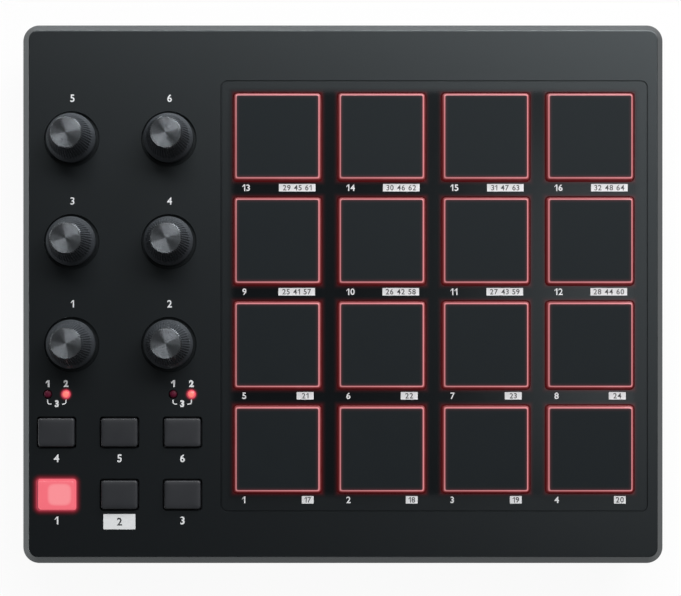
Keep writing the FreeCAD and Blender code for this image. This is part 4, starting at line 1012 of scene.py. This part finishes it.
class CONTROLLER_OT_bottom_shell(PieceOperator):
    """Build the bottom shell with its lip, screw columns, ribs and recesses"""

    bl_idname = "controller.bottom_shell"
    bl_label = "Bottom shell"

    def execute(self, context):
        case = settings().case
        floor_top = UNDERSIDE + 2.2 * MM
        outer = bmesh.new()
        block(outer, [case_outline(case.base_inset, UNDERSIDE), case_outline(0, SEAM)], segments=14)
        base_round = 0.8 * MM
        round_edges(outer, base_round, 4, level(UNDERSIDE))
        round_edges(outer, case.seam_round, 3, level(SEAM))

        floor_inset = case.base_inset * (SEAM - floor_top) / (SEAM - UNDERSIDE) + case.wall
        hollow = bmesh.new()
        block(hollow, [case_outline(floor_inset, floor_top), case_outline(case.wall, SEAM),
                       case_outline(case.wall, SEAM + 3 * PAST)])
        shell = combined(outer, ("DIFFERENCE", hollow), ("UNION", self.supports(floor_top)),
                         ("DIFFERENCE", self.openings()))
        add_piece("bottom_shell", shell, "case", ["base_plastic"], ["bottom_case"], even=True)
        return {"FINISHED"}

    def supports(self, floor_top):
        """The lip, the screw columns, the main board's columns and the floor's ribs."""
        case = settings().case
        bm = bmesh.new()
        rooted = UNDERSIDE + 1.1 * MM
        lip_foot, lip_top = SEAM - 0.5 * MM, SEAM + 2 * MM
        lip = case.wall - 1.1 * MM
        block(bm, [case_outline(lip, lip_foot), case_outline(lip, lip_top), case_outline(case.wall, lip_top),
                   case_outline(case.wall, lip_foot)], ring=True)
        post_radius = 4.2 * MM
        for place in POSTS:
            peg(bm, [(post_radius, rooted), (post_radius, SEAM)], place)
        board_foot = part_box("main_board")[0].z
        for place in MAIN_COLUMNS:
            peg(bm, [(BOSS_RADIUS, rooted), (BOSS_RADIUS, board_foot)], place)
        rib_count, rib_pitch, rib_half_width, rib_height = 4, 54, 0.7 * MM, 2.6 * MM
        rib_end = (CASE_DEPTH - 2 * (case.base_inset + case.wall / 2)) / 2
        for index in range(rib_count):
            x = (index - (rib_count - 1) / 2) * rib_pitch * MM
            box(bm, (x - rib_half_width, -rib_end, rooted),
                (x + rib_half_width, rib_end, floor_top + rib_height))
        return bm

    def openings(self):
        """Cutters for the screw holes, pilot holes, foot recesses and the socket's opening."""
        bm = bmesh.new()
        mouth, head_hole, shank_hole, mouth_edge = 3.7 * MM, 3.4 * MM, 1.7 * MM, 0.3 * MM
        for place in POSTS:
            peg(bm, [(mouth, UNDERSIDE - PAST), (mouth, UNDERSIDE), (head_hole, UNDERSIDE + mouth_edge),
                     (head_hole, SCREW_SEAT), (shank_hole, SCREW_SEAT), (shank_hole, SEAM + PAST)], place)
        board_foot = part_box("main_board")[0].z
        for place in MAIN_COLUMNS:
            peg(bm, [(PILOT_RADIUS, board_foot - PILOT_DEPTH), (PILOT_RADIUS, board_foot + PAST)], place,
                PILOT_SEGMENTS)
        recess_radius = 6.2 * MM
        recess_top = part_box("foot_front_left")[1].z
        for name in FOOT_NAMES:
            peg(bm, [(recess_radius, UNDERSIDE - PAST), (recess_radius, recess_top)], middle(name), 48)
        rear = CASE_HIGH.y
        usb_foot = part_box("usb_socket")[0].z - USB_PLAY
        inwards, outwards = 7.4 * MM, 7 * MM
        box(bm, (USB.x - USB_HALF, rear - inwards, usb_foot),
            (USB.x + USB_HALF, rear + outwards, SEAM + 3 * PAST))
        return bm


class CONTROLLER_OT_pads(PieceOperator):
    """Build the sixteen pads: black top layer over clear sides that are lit from within"""

    bl_idname = "controller.pads"
    bl_label = "Pads"

    # Points of the rounded side, as shares of its slope's width and of the pad's height over the panel
    side = ((0.0, 0.1), (0.10, 0.24), (0.46, 0.56), (0.86, 0.86), (0.95, 0.94))
    # The point at which the black layer starts
    layer_start = 3

    def execute(self, context):
        pads = settings().pads
        flange_top = PAD_FOOT + FLANGE_HEIGHT
        flange_corner = 2 * MM
        rise = PAD_TOP - PANEL
        step = (pads.foot - pads.face) / 2
        sections = [(pads.flange, pads.flange, flange_corner, PAD_FOOT),
                    (pads.flange, pads.flange, flange_corner, flange_top),
                    (pads.foot, pads.foot, pads.foot_corner, flange_top)]
        for inward, upward in self.side:
            width = pads.foot - 2 * step * inward
            corner = pads.foot_corner + (pads.face_corner - pads.foot_corner) * inward
            sections.append((width, width, corner, PANEL + rise * upward))
        sections.append((pads.face, pads.face, pads.face_corner, PAD_TOP))
        layer_foot = PANEL + rise * self.side[self.layer_start][1] - ALMOST
        for number in PAD_NUMBERS:
            name = f"pad_{number:02d}"
            bm = bmesh.new()
            block(bm, sections, middle(name), segments=5)
            for face in bm.faces:
                if all(vert.co.z > layer_foot for vert in face.verts):
                    face.material_index = 1
            add_piece(f"{name}_silicone", bm, name, ["pad_glow", "pad_rubber"], [name])
        return {"FINISHED"}


class CONTROLLER_OT_knobs(PieceOperator):
    """Build the six knobs: flared skirt, ribbed tapering grip and a turned metal disc"""

    bl_idname = "controller.knobs"
    bl_label = "Knobs"

    # Radius and height over the panel, in millimetres, from the bore's end round the outside to the top
    inside = ((0.0, 9.9), (3.02, 9.9), (3.02, 0.6), (4.5, 0.6), (4.5, 4.8), (7.6, 4.8), (7.6, 0.6))
    skirt = ((8.75, 0.6), (8.92, 0.7), (9.02, 0.95), (9.08, 1.6), (9.1, 2.9), (9.06, 3.2), (8.94, 3.52),
             (8.6, 4.12), (8.25, 4.8), (8.0, 5.6), (7.76, 6.6), (7.5, 7.8), (7.2, 9.2))
    grip = ((6.9, 10.4), (6.6, 11.4), (6.34, 12.2), (6.14, 12.8), (6.04, 13.2), (5.96, 13.5), (5.8, 13.7))
    rim = ((5.6, 13.74), (0.0, 13.74))
    cap = ((0.0, 13.76), (5.88, 13.76), (5.92, 13.84), (5.9, 13.97), (5.46, 14.3), (0.35, 14.36),
           (0.0, 14.34))
    ribs_foot, ribs_top = 5.2, 13.97
    # Each rib and the groove beside it take four of the lines round the knob, of which two are drawn in
    lines_per_rib = 4
    groove_lines = (2, 3)
    rib_angle = math.radians(50)

    def execute(self, context):
        for number in KNOB_NUMBERS:
            name = f"knob_{number}"
            grip = self.ribbed((*self.inside, *self.skirt, *self.grip, *self.rim), middle(name))
            add_piece(f"{name}_grip", grip, name, ["knob_plastic"], [name],
                      angle=self.rib_angle)
            disc = self.ribbed(self.cap, middle(name))
            add_piece(f"{name}_disc", disc, name, ["knob_metal"])
        return {"FINISHED"}

    def ribbed(self, profile, centre):
        """A turned form with every other pair of its lines drawn in, so that ribs stand between grooves."""
        knobs = settings().knobs
        lines = knobs.teeth * self.lines_per_rib
        bm = turned([(radius * MM, PANEL + height * MM) for radius, height in profile], lines)
        low = PANEL + self.ribs_foot * MM
        high = PANEL + self.ribs_top * MM + ALMOST
        step = math.tau / lines
        # Grooves start at the first radius and have their full depth from the second
        start, full = 5.5 * MM, 5.85 * MM
        for vert in bm.verts:
            radius = vert.co.xy.length
            line = round(math.atan2(vert.co.y, vert.co.x) / step) % self.lines_per_rib
            if low < vert.co.z < high and radius > start and line in self.groove_lines:
                depth = knobs.tooth * min((radius - start) / (full - start), 1)
                vert.co.xy *= (radius - depth) / radius
        bmesh.ops.translate(bm, vec=(centre.x, centre.y, 0), verts=bm.verts)
        return bm


class CONTROLLER_OT_buttons(PieceOperator):
    """Build the six buttons with their crowned caps, flanges and contact pills; the front left one is lit"""

    bl_idname = "controller.buttons"
    bl_label = "Buttons"

    def execute(self, context):
        corner = settings().buttons.corner
        flange, flange_corner, flange_top = 3 * MM, 0.5 * MM, PAD_FOOT + FLANGE_HEIGHT
        # How much smaller the cap is at each section of its crown, its corner there and how far below the top
        crown = ((0.0, corner, 0.55), (0.16, corner, 0.32), (0.5, corner - 0.1 * MM, 0.16),
                 (1.1, corner - 0.3 * MM, 0.08), (3.4, 0.5 * MM, 0.03), (7.4, 0.4 * MM, 0.0))
        pill_foot, pill_radius, pill_edge, pill_root = 2.3 * MM, 2.5 * MM, 0.2 * MM, 0.5 * MM
        for number in BUTTON_NUMBERS:
            name = f"button_{number}"
            low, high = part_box(name)
            cap, pill = bmesh.new(), bmesh.new()
            block(cap, [(CAP_WIDTH + flange, CAP_DEPTH + flange, flange_corner, PAD_FOOT),
                        (CAP_WIDTH + flange, CAP_DEPTH + flange, flange_corner, flange_top),
                        (CAP_WIDTH, CAP_DEPTH, corner, flange_top),
                        *[(CAP_WIDTH - less * MM, CAP_DEPTH - less * MM, its_corner, high.z - below * MM)
                          for less, its_corner, below in crown]], middle(name))
            peg(pill, [(pill_foot, low.z), (pill_radius, low.z + pill_edge),
                       (pill_radius, PAD_FOOT + pill_root)], middle(name))
            look = "button_glow" if number == LIT_BUTTON else "button_rubber"
            add_piece(f"{name}_cap", combined(cap, ("UNION", pill)), name, [look], [name])
        return {"FINISHED"}


class CONTROLLER_OT_lamps(PieceOperator):
    """Build the four indicator lamps with their domes, collars and leads"""

    bl_idname = "controller.lamps"
    bl_label = "Indicator lamps"

    def execute(self, context):
        foot = LAMP_TOP - 5.3 * MM
        dome_foot = LAMP_TOP - 0.9 * MM
        steps = 8
        dome = [(LAMP_RADIUS * math.cos(math.pi / 2 * index / steps),
                 dome_foot + (LAMP_TOP - dome_foot) * math.sin(math.pi / 2 * index / steps))
                for index in range(steps)]
        collar_top, collar_edge = foot + 1 * MM, 0.1 * MM
        profile = [(0.0, foot), (LAMP_COLLAR, foot), (LAMP_COLLAR, collar_top - collar_edge),
                   (LAMP_COLLAR - collar_edge, collar_top), (LAMP_RADIUS, collar_top), *dome, (0.0, LAMP_TOP)]
        leads = bmesh.new()
        lead_offset, lead_width, lead_corner = 1 * MM, 0.5 * MM, 0.1 * MM
        for number in range(1, LAMP_COUNT + 1):
            place = lamp_place(number)
            look = "lamp_lit" if number in LIT_LAMPS else "lamp_unlit"
            add_piece(f"lamp_{number}_lens", turned(profile, 48, place), "case", [look],
                      ["bank_lamps"])
            for side in (-1, 1):
                block(leads, [(lead_width, lead_width, lead_corner, height) for height in (BOARD_TOP, foot)],
                      (place.x + side * lead_offset, place.y), segments=1)
        add_piece("lamp_leads", leads, "case", ["bright_metal"], ["bank_lamps"])
        return {"FINISHED"}


def glyph(character, weight):
    """The mesh of one figure from the built-in font, whose bare bar for a 1 gets a flag instead."""
    if character == "1":
        bar, flag = 0.085 + 2 * weight, 0.19
        top, drop, flag_level = 0.7, 0.2, 0.63
        corners = [(0, 0), (bar, 0), (bar, top), (0, top), (-flag, top - drop),
                   (-flag, flag_level - drop - 2 * weight), (0, top - drop / 2 - 2 * weight)]
        mesh = bpy.data.meshes.new("figure")
        mesh.from_pydata([(x, y, 0) for x, y in corners], [], [range(len(corners))])
        return mesh
    curve = bpy.data.curves.new("figure", "FONT")
    curve.body = character
    curve.offset = weight
    curve.resolution_u = 6
    holder = bpy.data.objects.new("figure", curve)
    bpy.context.scene.collection.objects.link(holder)
    bpy.context.view_layer.update()
    mesh = bpy.data.meshes.new_from_object(holder.evaluated_get(bpy.context.evaluated_depsgraph_get()))
    # The holder goes with its curve
    bpy.data.curves.remove(curve)
    return mesh


def figures(bm, text, height, place, anchor=0.5, weight=0.022):
    """Figures of a given height; the anchor says which share of their width lies left of the place."""
    spacing, gap = 0.16 * height, 0.5 * height
    end = 0.0
    placed = []
    for character in text:
        if character == " ":
            end += gap
            continue
        mesh = glyph(character, weight)
        xs = [vert.co.x for vert in mesh.vertices]
        ys = [vert.co.y for vert in mesh.vertices]
        scale = height / (max(ys) - min(ys))
        placed.append((mesh, scale, end - min(xs) * scale, (min(ys) + max(ys)) / 2 * scale))
        end += (max(xs) - min(xs)) * scale + spacing
    start = Vector(place) - Vector(((end - spacing) * anchor, 0, 0))
    for mesh, scale, across, centre in placed:
        mesh.transform(Matrix.Translation(start + Vector((across, -centre, 0))) @ Matrix.Scale(scale, 4))
        bm.from_mesh(mesh)
        bpy.data.meshes.remove(mesh)


def printed(name, bm, ink="print_ink"):
    """A piece of print: the flat faces get the ink's thickness."""
    bmesh.ops.remove_doubles(bm, verts=bm.verts, dist=WELD)
    bmesh.ops.recalc_face_normals(bm, faces=bm.faces)
    bmesh.ops.solidify(bm, geom=bm.faces, thickness=settings().prints.ink_depth)
    add_piece(name, bm, "case", [ink])


# Ink lies this high, just clear of the panel
PRINT_HEIGHT = PANEL + 0.01 * MM


def tag(bm, left, right, front, rear):
    """A white rounded tag between its edges, in metres."""
    corner = 0.15 * MM
    centre = ((left + right) / 2, (front + rear) / 2)
    outline(bm, right - left, rear - front, corner, PRINT_HEIGHT, centre, 4)


class CONTROLLER_OT_prints(PieceOperator):
    """Print the figures, tags and bracket lines on the panel"""

    bl_idname = "controller.prints"
    bl_label = "Printed marks"

    # By row from the front: each tag's width and how far its right end lies from the pad's middle, both in
    # millimetres, and how many numbers it holds
    tag_widths = (4.4, 6.3, 13.6, 13.6)
    tag_ends = (13.4, 13.4, 13.9, 14.1)
    tag_counts = (1, 1, 3, 3)
    pads_per_bank = 16
    pads_per_row = 4

    def execute(self, context):
        prints = settings().prints
        over_tag = PRINT_HEIGHT + 1.5 * prints.ink_depth
        self.print_knob_figures(prints)
        self.print_pad_figures(prints, over_tag)
        self.print_lamp_figures(prints)
        self.print_button_figures(prints, over_tag)
        return {"FINISHED"}

    def print_knob_figures(self, prints):
        """A figure behind each knob."""
        marks = bmesh.new()
        right, behind = 0.25 * MM, 15.08 * MM
        for number in KNOB_NUMBERS:
            centre = middle(f"knob_{number}")
            figures(marks, str(number), prints.knob_figure,
                    (centre.x + right, centre.y + behind, PRINT_HEIGHT), weight=0.014)
        printed("knob_figures", marks)

    def print_pad_figures(self, prints, over_tag):
        """The pads' own numbers, and the numbers that they have in the other banks on white tags."""
        marks, tags, tag_marks = bmesh.new(), bmesh.new(), bmesh.new()
        before, left, half_tag = 18.85 * MM, 13.1 * MM, 1.4 * MM
        for number in PAD_NUMBERS:
            centre = middle(f"pad_{number:02d}")
            row = (number - 1) // self.pads_per_row
            line_y = centre.y - before
            figures(marks, str(number), prints.pad_figure, (centre.x - left, line_y, PRINT_HEIGHT),
                    anchor=0.0)
            end = centre.x + self.tag_ends[row] * MM
            width = self.tag_widths[row] * MM
            tag(tags, end - width, end, line_y - half_tag, line_y + half_tag)
            others = [number + self.pads_per_bank * (bank + 1) for bank in range(self.tag_counts[row])]
            figures(tag_marks, " ".join(map(str, others)), prints.tag_figure,
                    (end - width / 2, line_y, over_tag), weight=0.01)
        printed("pad_figures", marks)
        printed("pad_tags", tags)
        printed("tag_figures", tag_marks, "dark_ink")

    def print_lamp_figures(self, prints):
        """A figure behind each lamp, one before each pair, and lines from the lamps to it."""
        marks = bmesh.new()
        behind, before, weight = 3.95 * MM, 3.5 * MM, 0.05
        for first in (1, 3):
            left, right = lamp_place(first), lamp_place(first + 1)
            between = (left.x + right.x) / 2
            places = ((left.x, left.y + behind), (right.x, right.y + behind), (between, left.y - before))
            for text, (x, y) in zip("123", places):
                figures(marks, text, prints.lamp_figure, (x, y, PRINT_HEIGHT), weight=weight)
            for place, side in ((left, 1), (right, -1)):
                self.bracket(marks, place, side, PRINT_HEIGHT)
        printed("lamp_figures", marks)

    def print_button_figures(self, prints, over_tag):
        """A figure before each button; one stands dark on a white tag."""
        marks, framed_mark = bmesh.new(), bmesh.new()
        before, framed_before = 9.6 * MM, 10.05 * MM
        for number in BUTTON_NUMBERS:
            centre = middle(f"button_{number}")
            if number == FRAMED_BUTTON:
                tag(marks, centre.x - 6.0 * MM, centre.x + 5.9 * MM, centre.y - 12.9 * MM,
                    centre.y - 7.2 * MM)
                figures(framed_mark, str(number), prints.button_figure,
                        (centre.x, centre.y - framed_before, over_tag))
            else:
                figures(marks, str(number), prints.button_figure, (centre.x, centre.y - before, PRINT_HEIGHT))
        printed("button_figures", marks)
        printed("framed_figure", framed_mark, "dark_ink")

    def bracket(self, bm, place, side, height):
        """A line down from a lamp that turns inwards to the figure between the lamps."""
        half, bend, end_run = 0.2 * MM, 0.75 * MM, 0.7 * MM
        top, corner = place.y - 2.0 * MM, place.y - 2.9 * MM
        ends = [bm.verts.new((place.x + offset, top, height)) for offset in (-half, half)]
        edge = bm.edges.new(ends)
        run = self.drawn_out(bm, [edge], (0, corner - top, 0))
        spun = bmesh.ops.spin(bm, geom=[*run, *{vert for line in run for vert in line.verts}],
                              cent=(place.x + side * bend, corner, height), axis=(0, 0, side),
                              angle=math.pi / 2, steps=5)["geom_last"]
        last = [item for item in spun if isinstance(item, bmesh.types.BMEdge)]
        self.drawn_out(bm, last, (side * end_run, 0, 0))

    def drawn_out(self, bm, edges, offset):
        """Extrude edges by an offset and give back the new ones."""
        made = bmesh.ops.extrude_edge_only(bm, edges=edges)["geom"]
        verts = [item for item in made if isinstance(item, bmesh.types.BMVert)]
        bmesh.ops.translate(bm, vec=offset, verts=verts)
        return [item for item in made if isinstance(item, bmesh.types.BMEdge)]


class CONTROLLER_OT_feet(PieceOperator):
    """Build the four rubber feet"""

    bl_idname = "controller.feet"
    bl_label = "Feet"

    # How far inside its outer radius and how high each point of a foot lies, in millimetres
    edge = ((2.2, 0.35), (1.9, 0.05), (1.6, 0.0), (0.7, 0.0), (0.3, 0.12), (0.08, 0.4), (0.0, 0.8))

    def execute(self, context):
        for name in FOOT_NAMES:
            low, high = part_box(name)
            radius = (high.x - low.x) / 2
            dished = self.edge[0][1] * MM
            edge = [(radius - inwards * MM, height * MM) for inwards, height in self.edge]
            profile = [(0.0, dished), *edge, (radius, high.z), (0.0, high.z)]
            add_piece(f"{name}_rubber", turned(profile, 64, middle(name)), "case",
                      ["foot_rubber"], [name])
        return {"FINISHED"}


def screw(head_radius, head_height, shank_radius, shank_length, recess):
    """A pan-head screw, head down, with its seat at height 0 and a cross recess in the head."""
    pitch, ridge, point = 0.9 * MM, 0.2, 0.6 * MM
    crest = shank_radius - 0.02 * MM
    root = crest * 0.78
    # The head's points are shares of its radius and height
    profile = [(0.0, -head_height), (head_radius * 0.55, -head_height),
               (head_radius * 0.85, -head_height * 0.8), (head_radius, -head_height * 0.4),
               (head_radius, 0.0), (root, 0.0)]
    for index in range(int((shank_length - 2 * pitch) / pitch)):
        foot = pitch * (index + 1)
        profile += [(root, foot - ridge * pitch), (crest, foot), (root, foot + ridge * pitch)]
    profile += [(root * 0.8, shank_length - point), (0.0, shank_length)]
    arm_width, narrowing, deep = 0.24, 0.6, head_height * 0.62
    steps = []
    for across, along in ((recess, arm_width * recess), (arm_width * recess, recess)):
        arm = bmesh.new()
        block(arm, [(across, along, 0, -head_height - PAST), (across, along, 0, -head_height),
                    (across * narrowing, along * narrowing, 0, -head_height + deep)])
        steps.append(("DIFFERENCE", arm))
    return combined(turned(profile, 32), *steps)


def scatter(form, places, name, material, node):
    """One piece with a copy of the form at each place, and none of the form left."""
    mesh = bpy.data.meshes.new("form")
    form.to_mesh(mesh)
    form.free()
    bm = bmesh.new()
    for x, y, z, turned_over in places:
        copy = mesh.copy()
        turn = Matrix.Rotation(math.pi, 4, "X") if turned_over else Matrix.Identity(4)
        copy.transform(Matrix.Translation((x, y, z)) @ turn)
        bm.from_mesh(copy)
        bpy.data.meshes.remove(copy)
    bpy.data.meshes.remove(mesh)
    add_piece(name, bm, "case", [material], [node])


class CONTROLLER_OT_screws(PieceOperator):
    """Build the case screws and the board screws"""

    bl_idname = "controller.screws"
    bl_label = "Screws"

    def execute(self, context):
        case_screw = screw(3.0 * MM, 2.0 * MM, 1.2 * MM, 13 * MM, 3.4 * MM)
        scatter(case_screw, [(x, y, SCREW_SEAT, False) for x, y in POSTS], "case_screw_set",
                "black_screw", "case_screws")
        pad_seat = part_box("pad_board")[0].z
        control_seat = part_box("control_board")[0].z
        main_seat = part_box("main_board")[1].z
        places = [(x, y, pad_seat, False) for x, y in PAD_BOSSES]
        places += [(x, y, control_seat, False) for x, y in CONTROL_BOSSES]
        places += [(x, y, main_seat, True) for x, y in MAIN_COLUMNS]
        board_screw = screw(1.9 * MM, 1.3 * MM, 0.9 * MM, 4.4 * MM, 2.2 * MM)
        scatter(board_screw, places, "board_screw_set", "bright_metal", "board_screws")
        return {"FINISHED"}


class CONTROLLER_OT_socket(PieceOperator):
    """Build the socket at the rear: steel shell, plastic insert with its tongue and four contacts"""

    bl_idname = "controller.socket"
    bl_label = "Rear socket"

    def execute(self, context):
        low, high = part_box("usb_socket")
        skin, shell_round = 0.35 * MM, 0.5 * MM
        shell, hollow = bmesh.new(), bmesh.new()
        box(shell, low, high)
        round_edges(shell, shell_round, 3, along_y)
        box(hollow, (low.x + skin, low.y + skin, low.z + skin), (high.x - skin, high.y + PAST, high.z - skin))
        add_piece("socket_shell", combined(shell, ("DIFFERENCE", hollow)), "case", ["bright_metal"],
                  ["usb_socket"])

        insert, mouth, tongue = bmesh.new(), bmesh.new(), bmesh.new()
        rim, play = 0.25 * MM, 0.02 * MM
        box(insert, (low.x + skin + play, low.y + skin + play, low.z + skin + play),
            (high.x - skin - play, high.y - rim, high.z - skin - play))
        mouth_width, mouth_height, mouth_depth, slant = 8.5 * MM, 7.8 * MM, 12 * MM, 1.6 * MM
        box(mouth, (USB.x - mouth_width / 2, high.y - mouth_depth, USB.z - mouth_height / 2),
            (USB.x + mouth_width / 2, high.y + PAST, USB.z + mouth_height / 2))
        upper = level(USB.z + mouth_height / 2)
        round_edges(mouth, slant, 1, lambda edge: upper(edge) and along_y(edge))
        half_width, half_height, tongue_round = 2.8 * MM, 1.6 * MM, 0.3 * MM
        root, tip = high.y - mouth_depth - 0.5 * MM, high.y - 1.6 * MM
        box(tongue, (USB.x - half_width, root, USB.z - half_height),
            (USB.x + half_width, tip, USB.z + half_height))
        round_edges(tongue, tongue_round, 2,
                    lambda edge: all(vert.co.y > tip - ALMOST for vert in edge.verts))
        add_piece("socket_insert", combined(insert, ("DIFFERENCE", mouth), ("UNION", tongue)), "case",
                  ["socket_plastic"], ["usb_socket"])
        self.add_contacts(half_height, root + 2 * MM, tip - 0.7 * MM)
        return {"FINISHED"}

    def add_contacts(self, tongue_half, inner_end, outer_end):
        """Two contacts on the tongue's upper face and two on its lower face."""
        contacts = bmesh.new()
        from_middle, half_width = 1.25 * MM, 0.5 * MM
        thickness, sunk, edge_round = 0.08 * MM, 0.01 * MM, 0.03 * MM
        for side in (-1, 1):
            for place in (-1, 1):
                x = USB.x + place * from_middle
                near = USB.z + side * (tongue_half - sunk)
                far = USB.z + side * (tongue_half + thickness)
                box(contacts, (x - half_width, inner_end, min(near, far)),
                    (x + half_width, outer_end, max(near, far)))
        round_edges(contacts, edge_round, 1, lambda edge: True)
        add_piece("socket_contacts", contacts, "case", ["gold_contact"], ["usb_socket"])


class CONTROLLER_OT_inner_parts(PieceOperator):
    """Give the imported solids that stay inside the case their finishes"""

    bl_idname = "controller.inner_parts"
    bl_label = "Inner parts"

    looks = {
        "encoder_body": "bright_metal", "encoder_shaft": "bright_metal", "keypad_mat": "mat_silicone",
        "control_board": "board_green", "pad_board": "board_green", "main_board": "board_green",
        "pad_sensor_film": "sensor_amber", "backlight_lamps": "lamp_white", "lock_slot_plate": "bright_metal",
        "processor_chip": "chip_black", "pad_ribbon": "ribbon_grey", "control_ribbon": "ribbon_grey",
    }

    def execute(self, context):
        for name, node in NODES.items():
            look = next((self.looks[start] for start in self.looks if name.startswith(start)), None)
            if look and not node.hide_render:
                node.data.materials.clear()
                node.data.materials.append(finish(look))
        return {"FINISHED"}


class CONTROLLER_OT_stage(PieceOperator):
    """Set up the floor, the lights, the room and the camera"""

    bl_idname = "controller.stage"
    bl_label = "Stage"

    # Each light's place, its width and height in metres, and its power in watts at full brightness
    lights = {
        "key": ((0.24, 0.76, 0.958), 1.5, 0.45, 14.2),
        "right_box": ((0.62, 0.08, 0.95), 0.4, 0.9, 1.1),
        "low_key": ((0.6, 0.9, 0.39), 0.9, 0.25, 9.0),
        "rear_strip": ((0.0, 1.1, 0.017), 1.6, 0.03, 12.0),
        "left_strip": ((-1.1, 0.0, 0.017), 1.6, 0.03, 5.0),
        "front_fill": ((0.1, -1.0, 0.75), 0.6, 0.4, 0.8),
    }

    def execute(self, context):
        stage = settings().stage
        self.make_floor()
        self.make_room(stage.room)
        for name, (place, width, height, power) in self.lights.items():
            self.make_light(name, place, width, height, power * stage.brightness)
        self.make_camera(stage)
        context.scene.view_settings.view_transform = "Standard"
        return {"FINISHED"}

    def make_floor(self):
        """A pale floor that takes shadows and looks almost white to the camera and in reflections."""
        half_size, pale, whitened = 6.0, (0.85, 0.85, 0.85, 1.0), 0.94
        bm = bmesh.new()
        bmesh.ops.create_grid(bm, x_segments=1, y_segments=1, size=half_size)
        mesh = bpy.data.meshes.new("floor")
        bm.to_mesh(mesh)
        bm.free()
        floor = bpy.data.objects.new("floor", mesh)
        bpy.context.scene.collection.objects.link(floor)
        material = bpy.data.materials.new("floor_white")
        recipe = Recipe(material)
        seen = recipe.node("ShaderNodeLightPath", output="Is Camera Ray")
        mirrored = recipe.node("ShaderNodeLightPath", output="Is Glossy Ray")
        lit = recipe.node("ShaderNodeBsdfDiffuse", values={"Color": pale})
        white = recipe.node("ShaderNodeEmission", values={"Color": WHITE, "Strength": 1.0})
        cover = seen.larger(mirrored) * whitened
        mixed = recipe.node("ShaderNodeMixShader", values={0: cover, 1: lit, 2: white})
        recipe.show("ShaderNodeOutputMaterial", mixed)
        floor.data.materials.append(material)

    def make_room(self, strength):
        """Dim light from all round, which the camera sees as white."""
        world = bpy.data.worlds.new("room")
        bpy.context.scene.world = world
        recipe = Recipe(world)
        seen = recipe.node("ShaderNodeLightPath", output="Is Camera Ray")
        lit = recipe.node("ShaderNodeBackground", values={"Color": WHITE, "Strength": strength})
        white = recipe.node("ShaderNodeBackground", values={"Color": WHITE, "Strength": 1.0})
        mixed = recipe.node("ShaderNodeMixShader", values={0: seen, 1: lit, 2: white})
        recipe.show("ShaderNodeOutputWorld", mixed)

    def make_light(self, name, place, width, height, power):
        """A rectangular light that faces the frame's origin."""
        lamp = bpy.data.lights.new(name, "AREA")
        lamp.shape = "RECTANGLE"
        lamp.size, lamp.size_y = width, height
        lamp.energy = power
        light = bpy.data.objects.new(name, lamp)
        bpy.context.scene.collection.objects.link(light)
        light.location = place
        light.rotation_euler = (-Vector(place)).to_track_quat("-Z", "Y").to_euler()
        light.visible_camera = False

    def make_camera(self, stage):
        """A camera that looks straight down, with its lens shifted so that the knobs lean as they do."""
        sensor = 36.0
        lens = bpy.data.cameras.new("camera")
        lens.sensor_width = sensor
        lens.lens = sensor * stage.camera_height / stage.view_width
        lens.shift_x = stage.shift_x
        lens.shift_y = stage.shift_y
        lens.clip_start, lens.clip_end = 0.01, 20.0
        camera = bpy.data.objects.new("camera", lens)
        bpy.context.scene.collection.objects.link(camera)
        camera.location = (stage.view_x - stage.shift_x * stage.view_width,
                           stage.view_y - stage.shift_y * stage.view_width, PANEL + stage.camera_height)
        bpy.context.scene.camera = camera


class CONTROLLER_PT_panel(bpy.types.Panel):
    """The pad controller's pieces and settings"""

    bl_idname = "CONTROLLER_PT_panel"
    bl_label = "Pad controller"
    bl_space_type = "VIEW_3D"
    bl_region_type = "UI"
    bl_category = "Pad controller"

    def draw(self, context):
        for operator in OPERATORS:
            self.layout.operator(operator.bl_idname)
        for group in ("case", "pads", "knobs", "buttons", "prints", "stage"):
            values = getattr(context.scene.pad_controller, group)
            column = self.layout.box().column()
            column.label(text=group.capitalize())
            for name in values.__annotations__:
                column.prop(values, name)


GROUPS = (CaseSettings, PadSettings, KnobSettings, ButtonSettings, PrintSettings, StageSettings,
          ControllerSettings)
OPERATORS = (CONTROLLER_OT_top_shell, CONTROLLER_OT_bottom_shell, CONTROLLER_OT_pads, CONTROLLER_OT_knobs,
             CONTROLLER_OT_buttons, CONTROLLER_OT_lamps, CONTROLLER_OT_prints, CONTROLLER_OT_feet,
             CONTROLLER_OT_screws, CONTROLLER_OT_socket, CONTROLLER_OT_inner_parts, CONTROLLER_OT_stage)


def register():
    for each in (*GROUPS, *OPERATORS, CONTROLLER_PT_panel):
        bpy.utils.register_class(each)
    bpy.types.Scene.pad_controller = PointerProperty(type=ControllerSettings)


def unregister():
    del bpy.types.Scene.pad_controller
    for each in (CONTROLLER_PT_panel, *reversed(OPERATORS), *reversed(GROUPS)):
        bpy.utils.unregister_class(each)


def main():
    register()
    for operator in OPERATORS:
        getattr(bpy.ops.controller, operator.bl_idname.split(".")[1])()


if __name__ == "__main__":
    main()
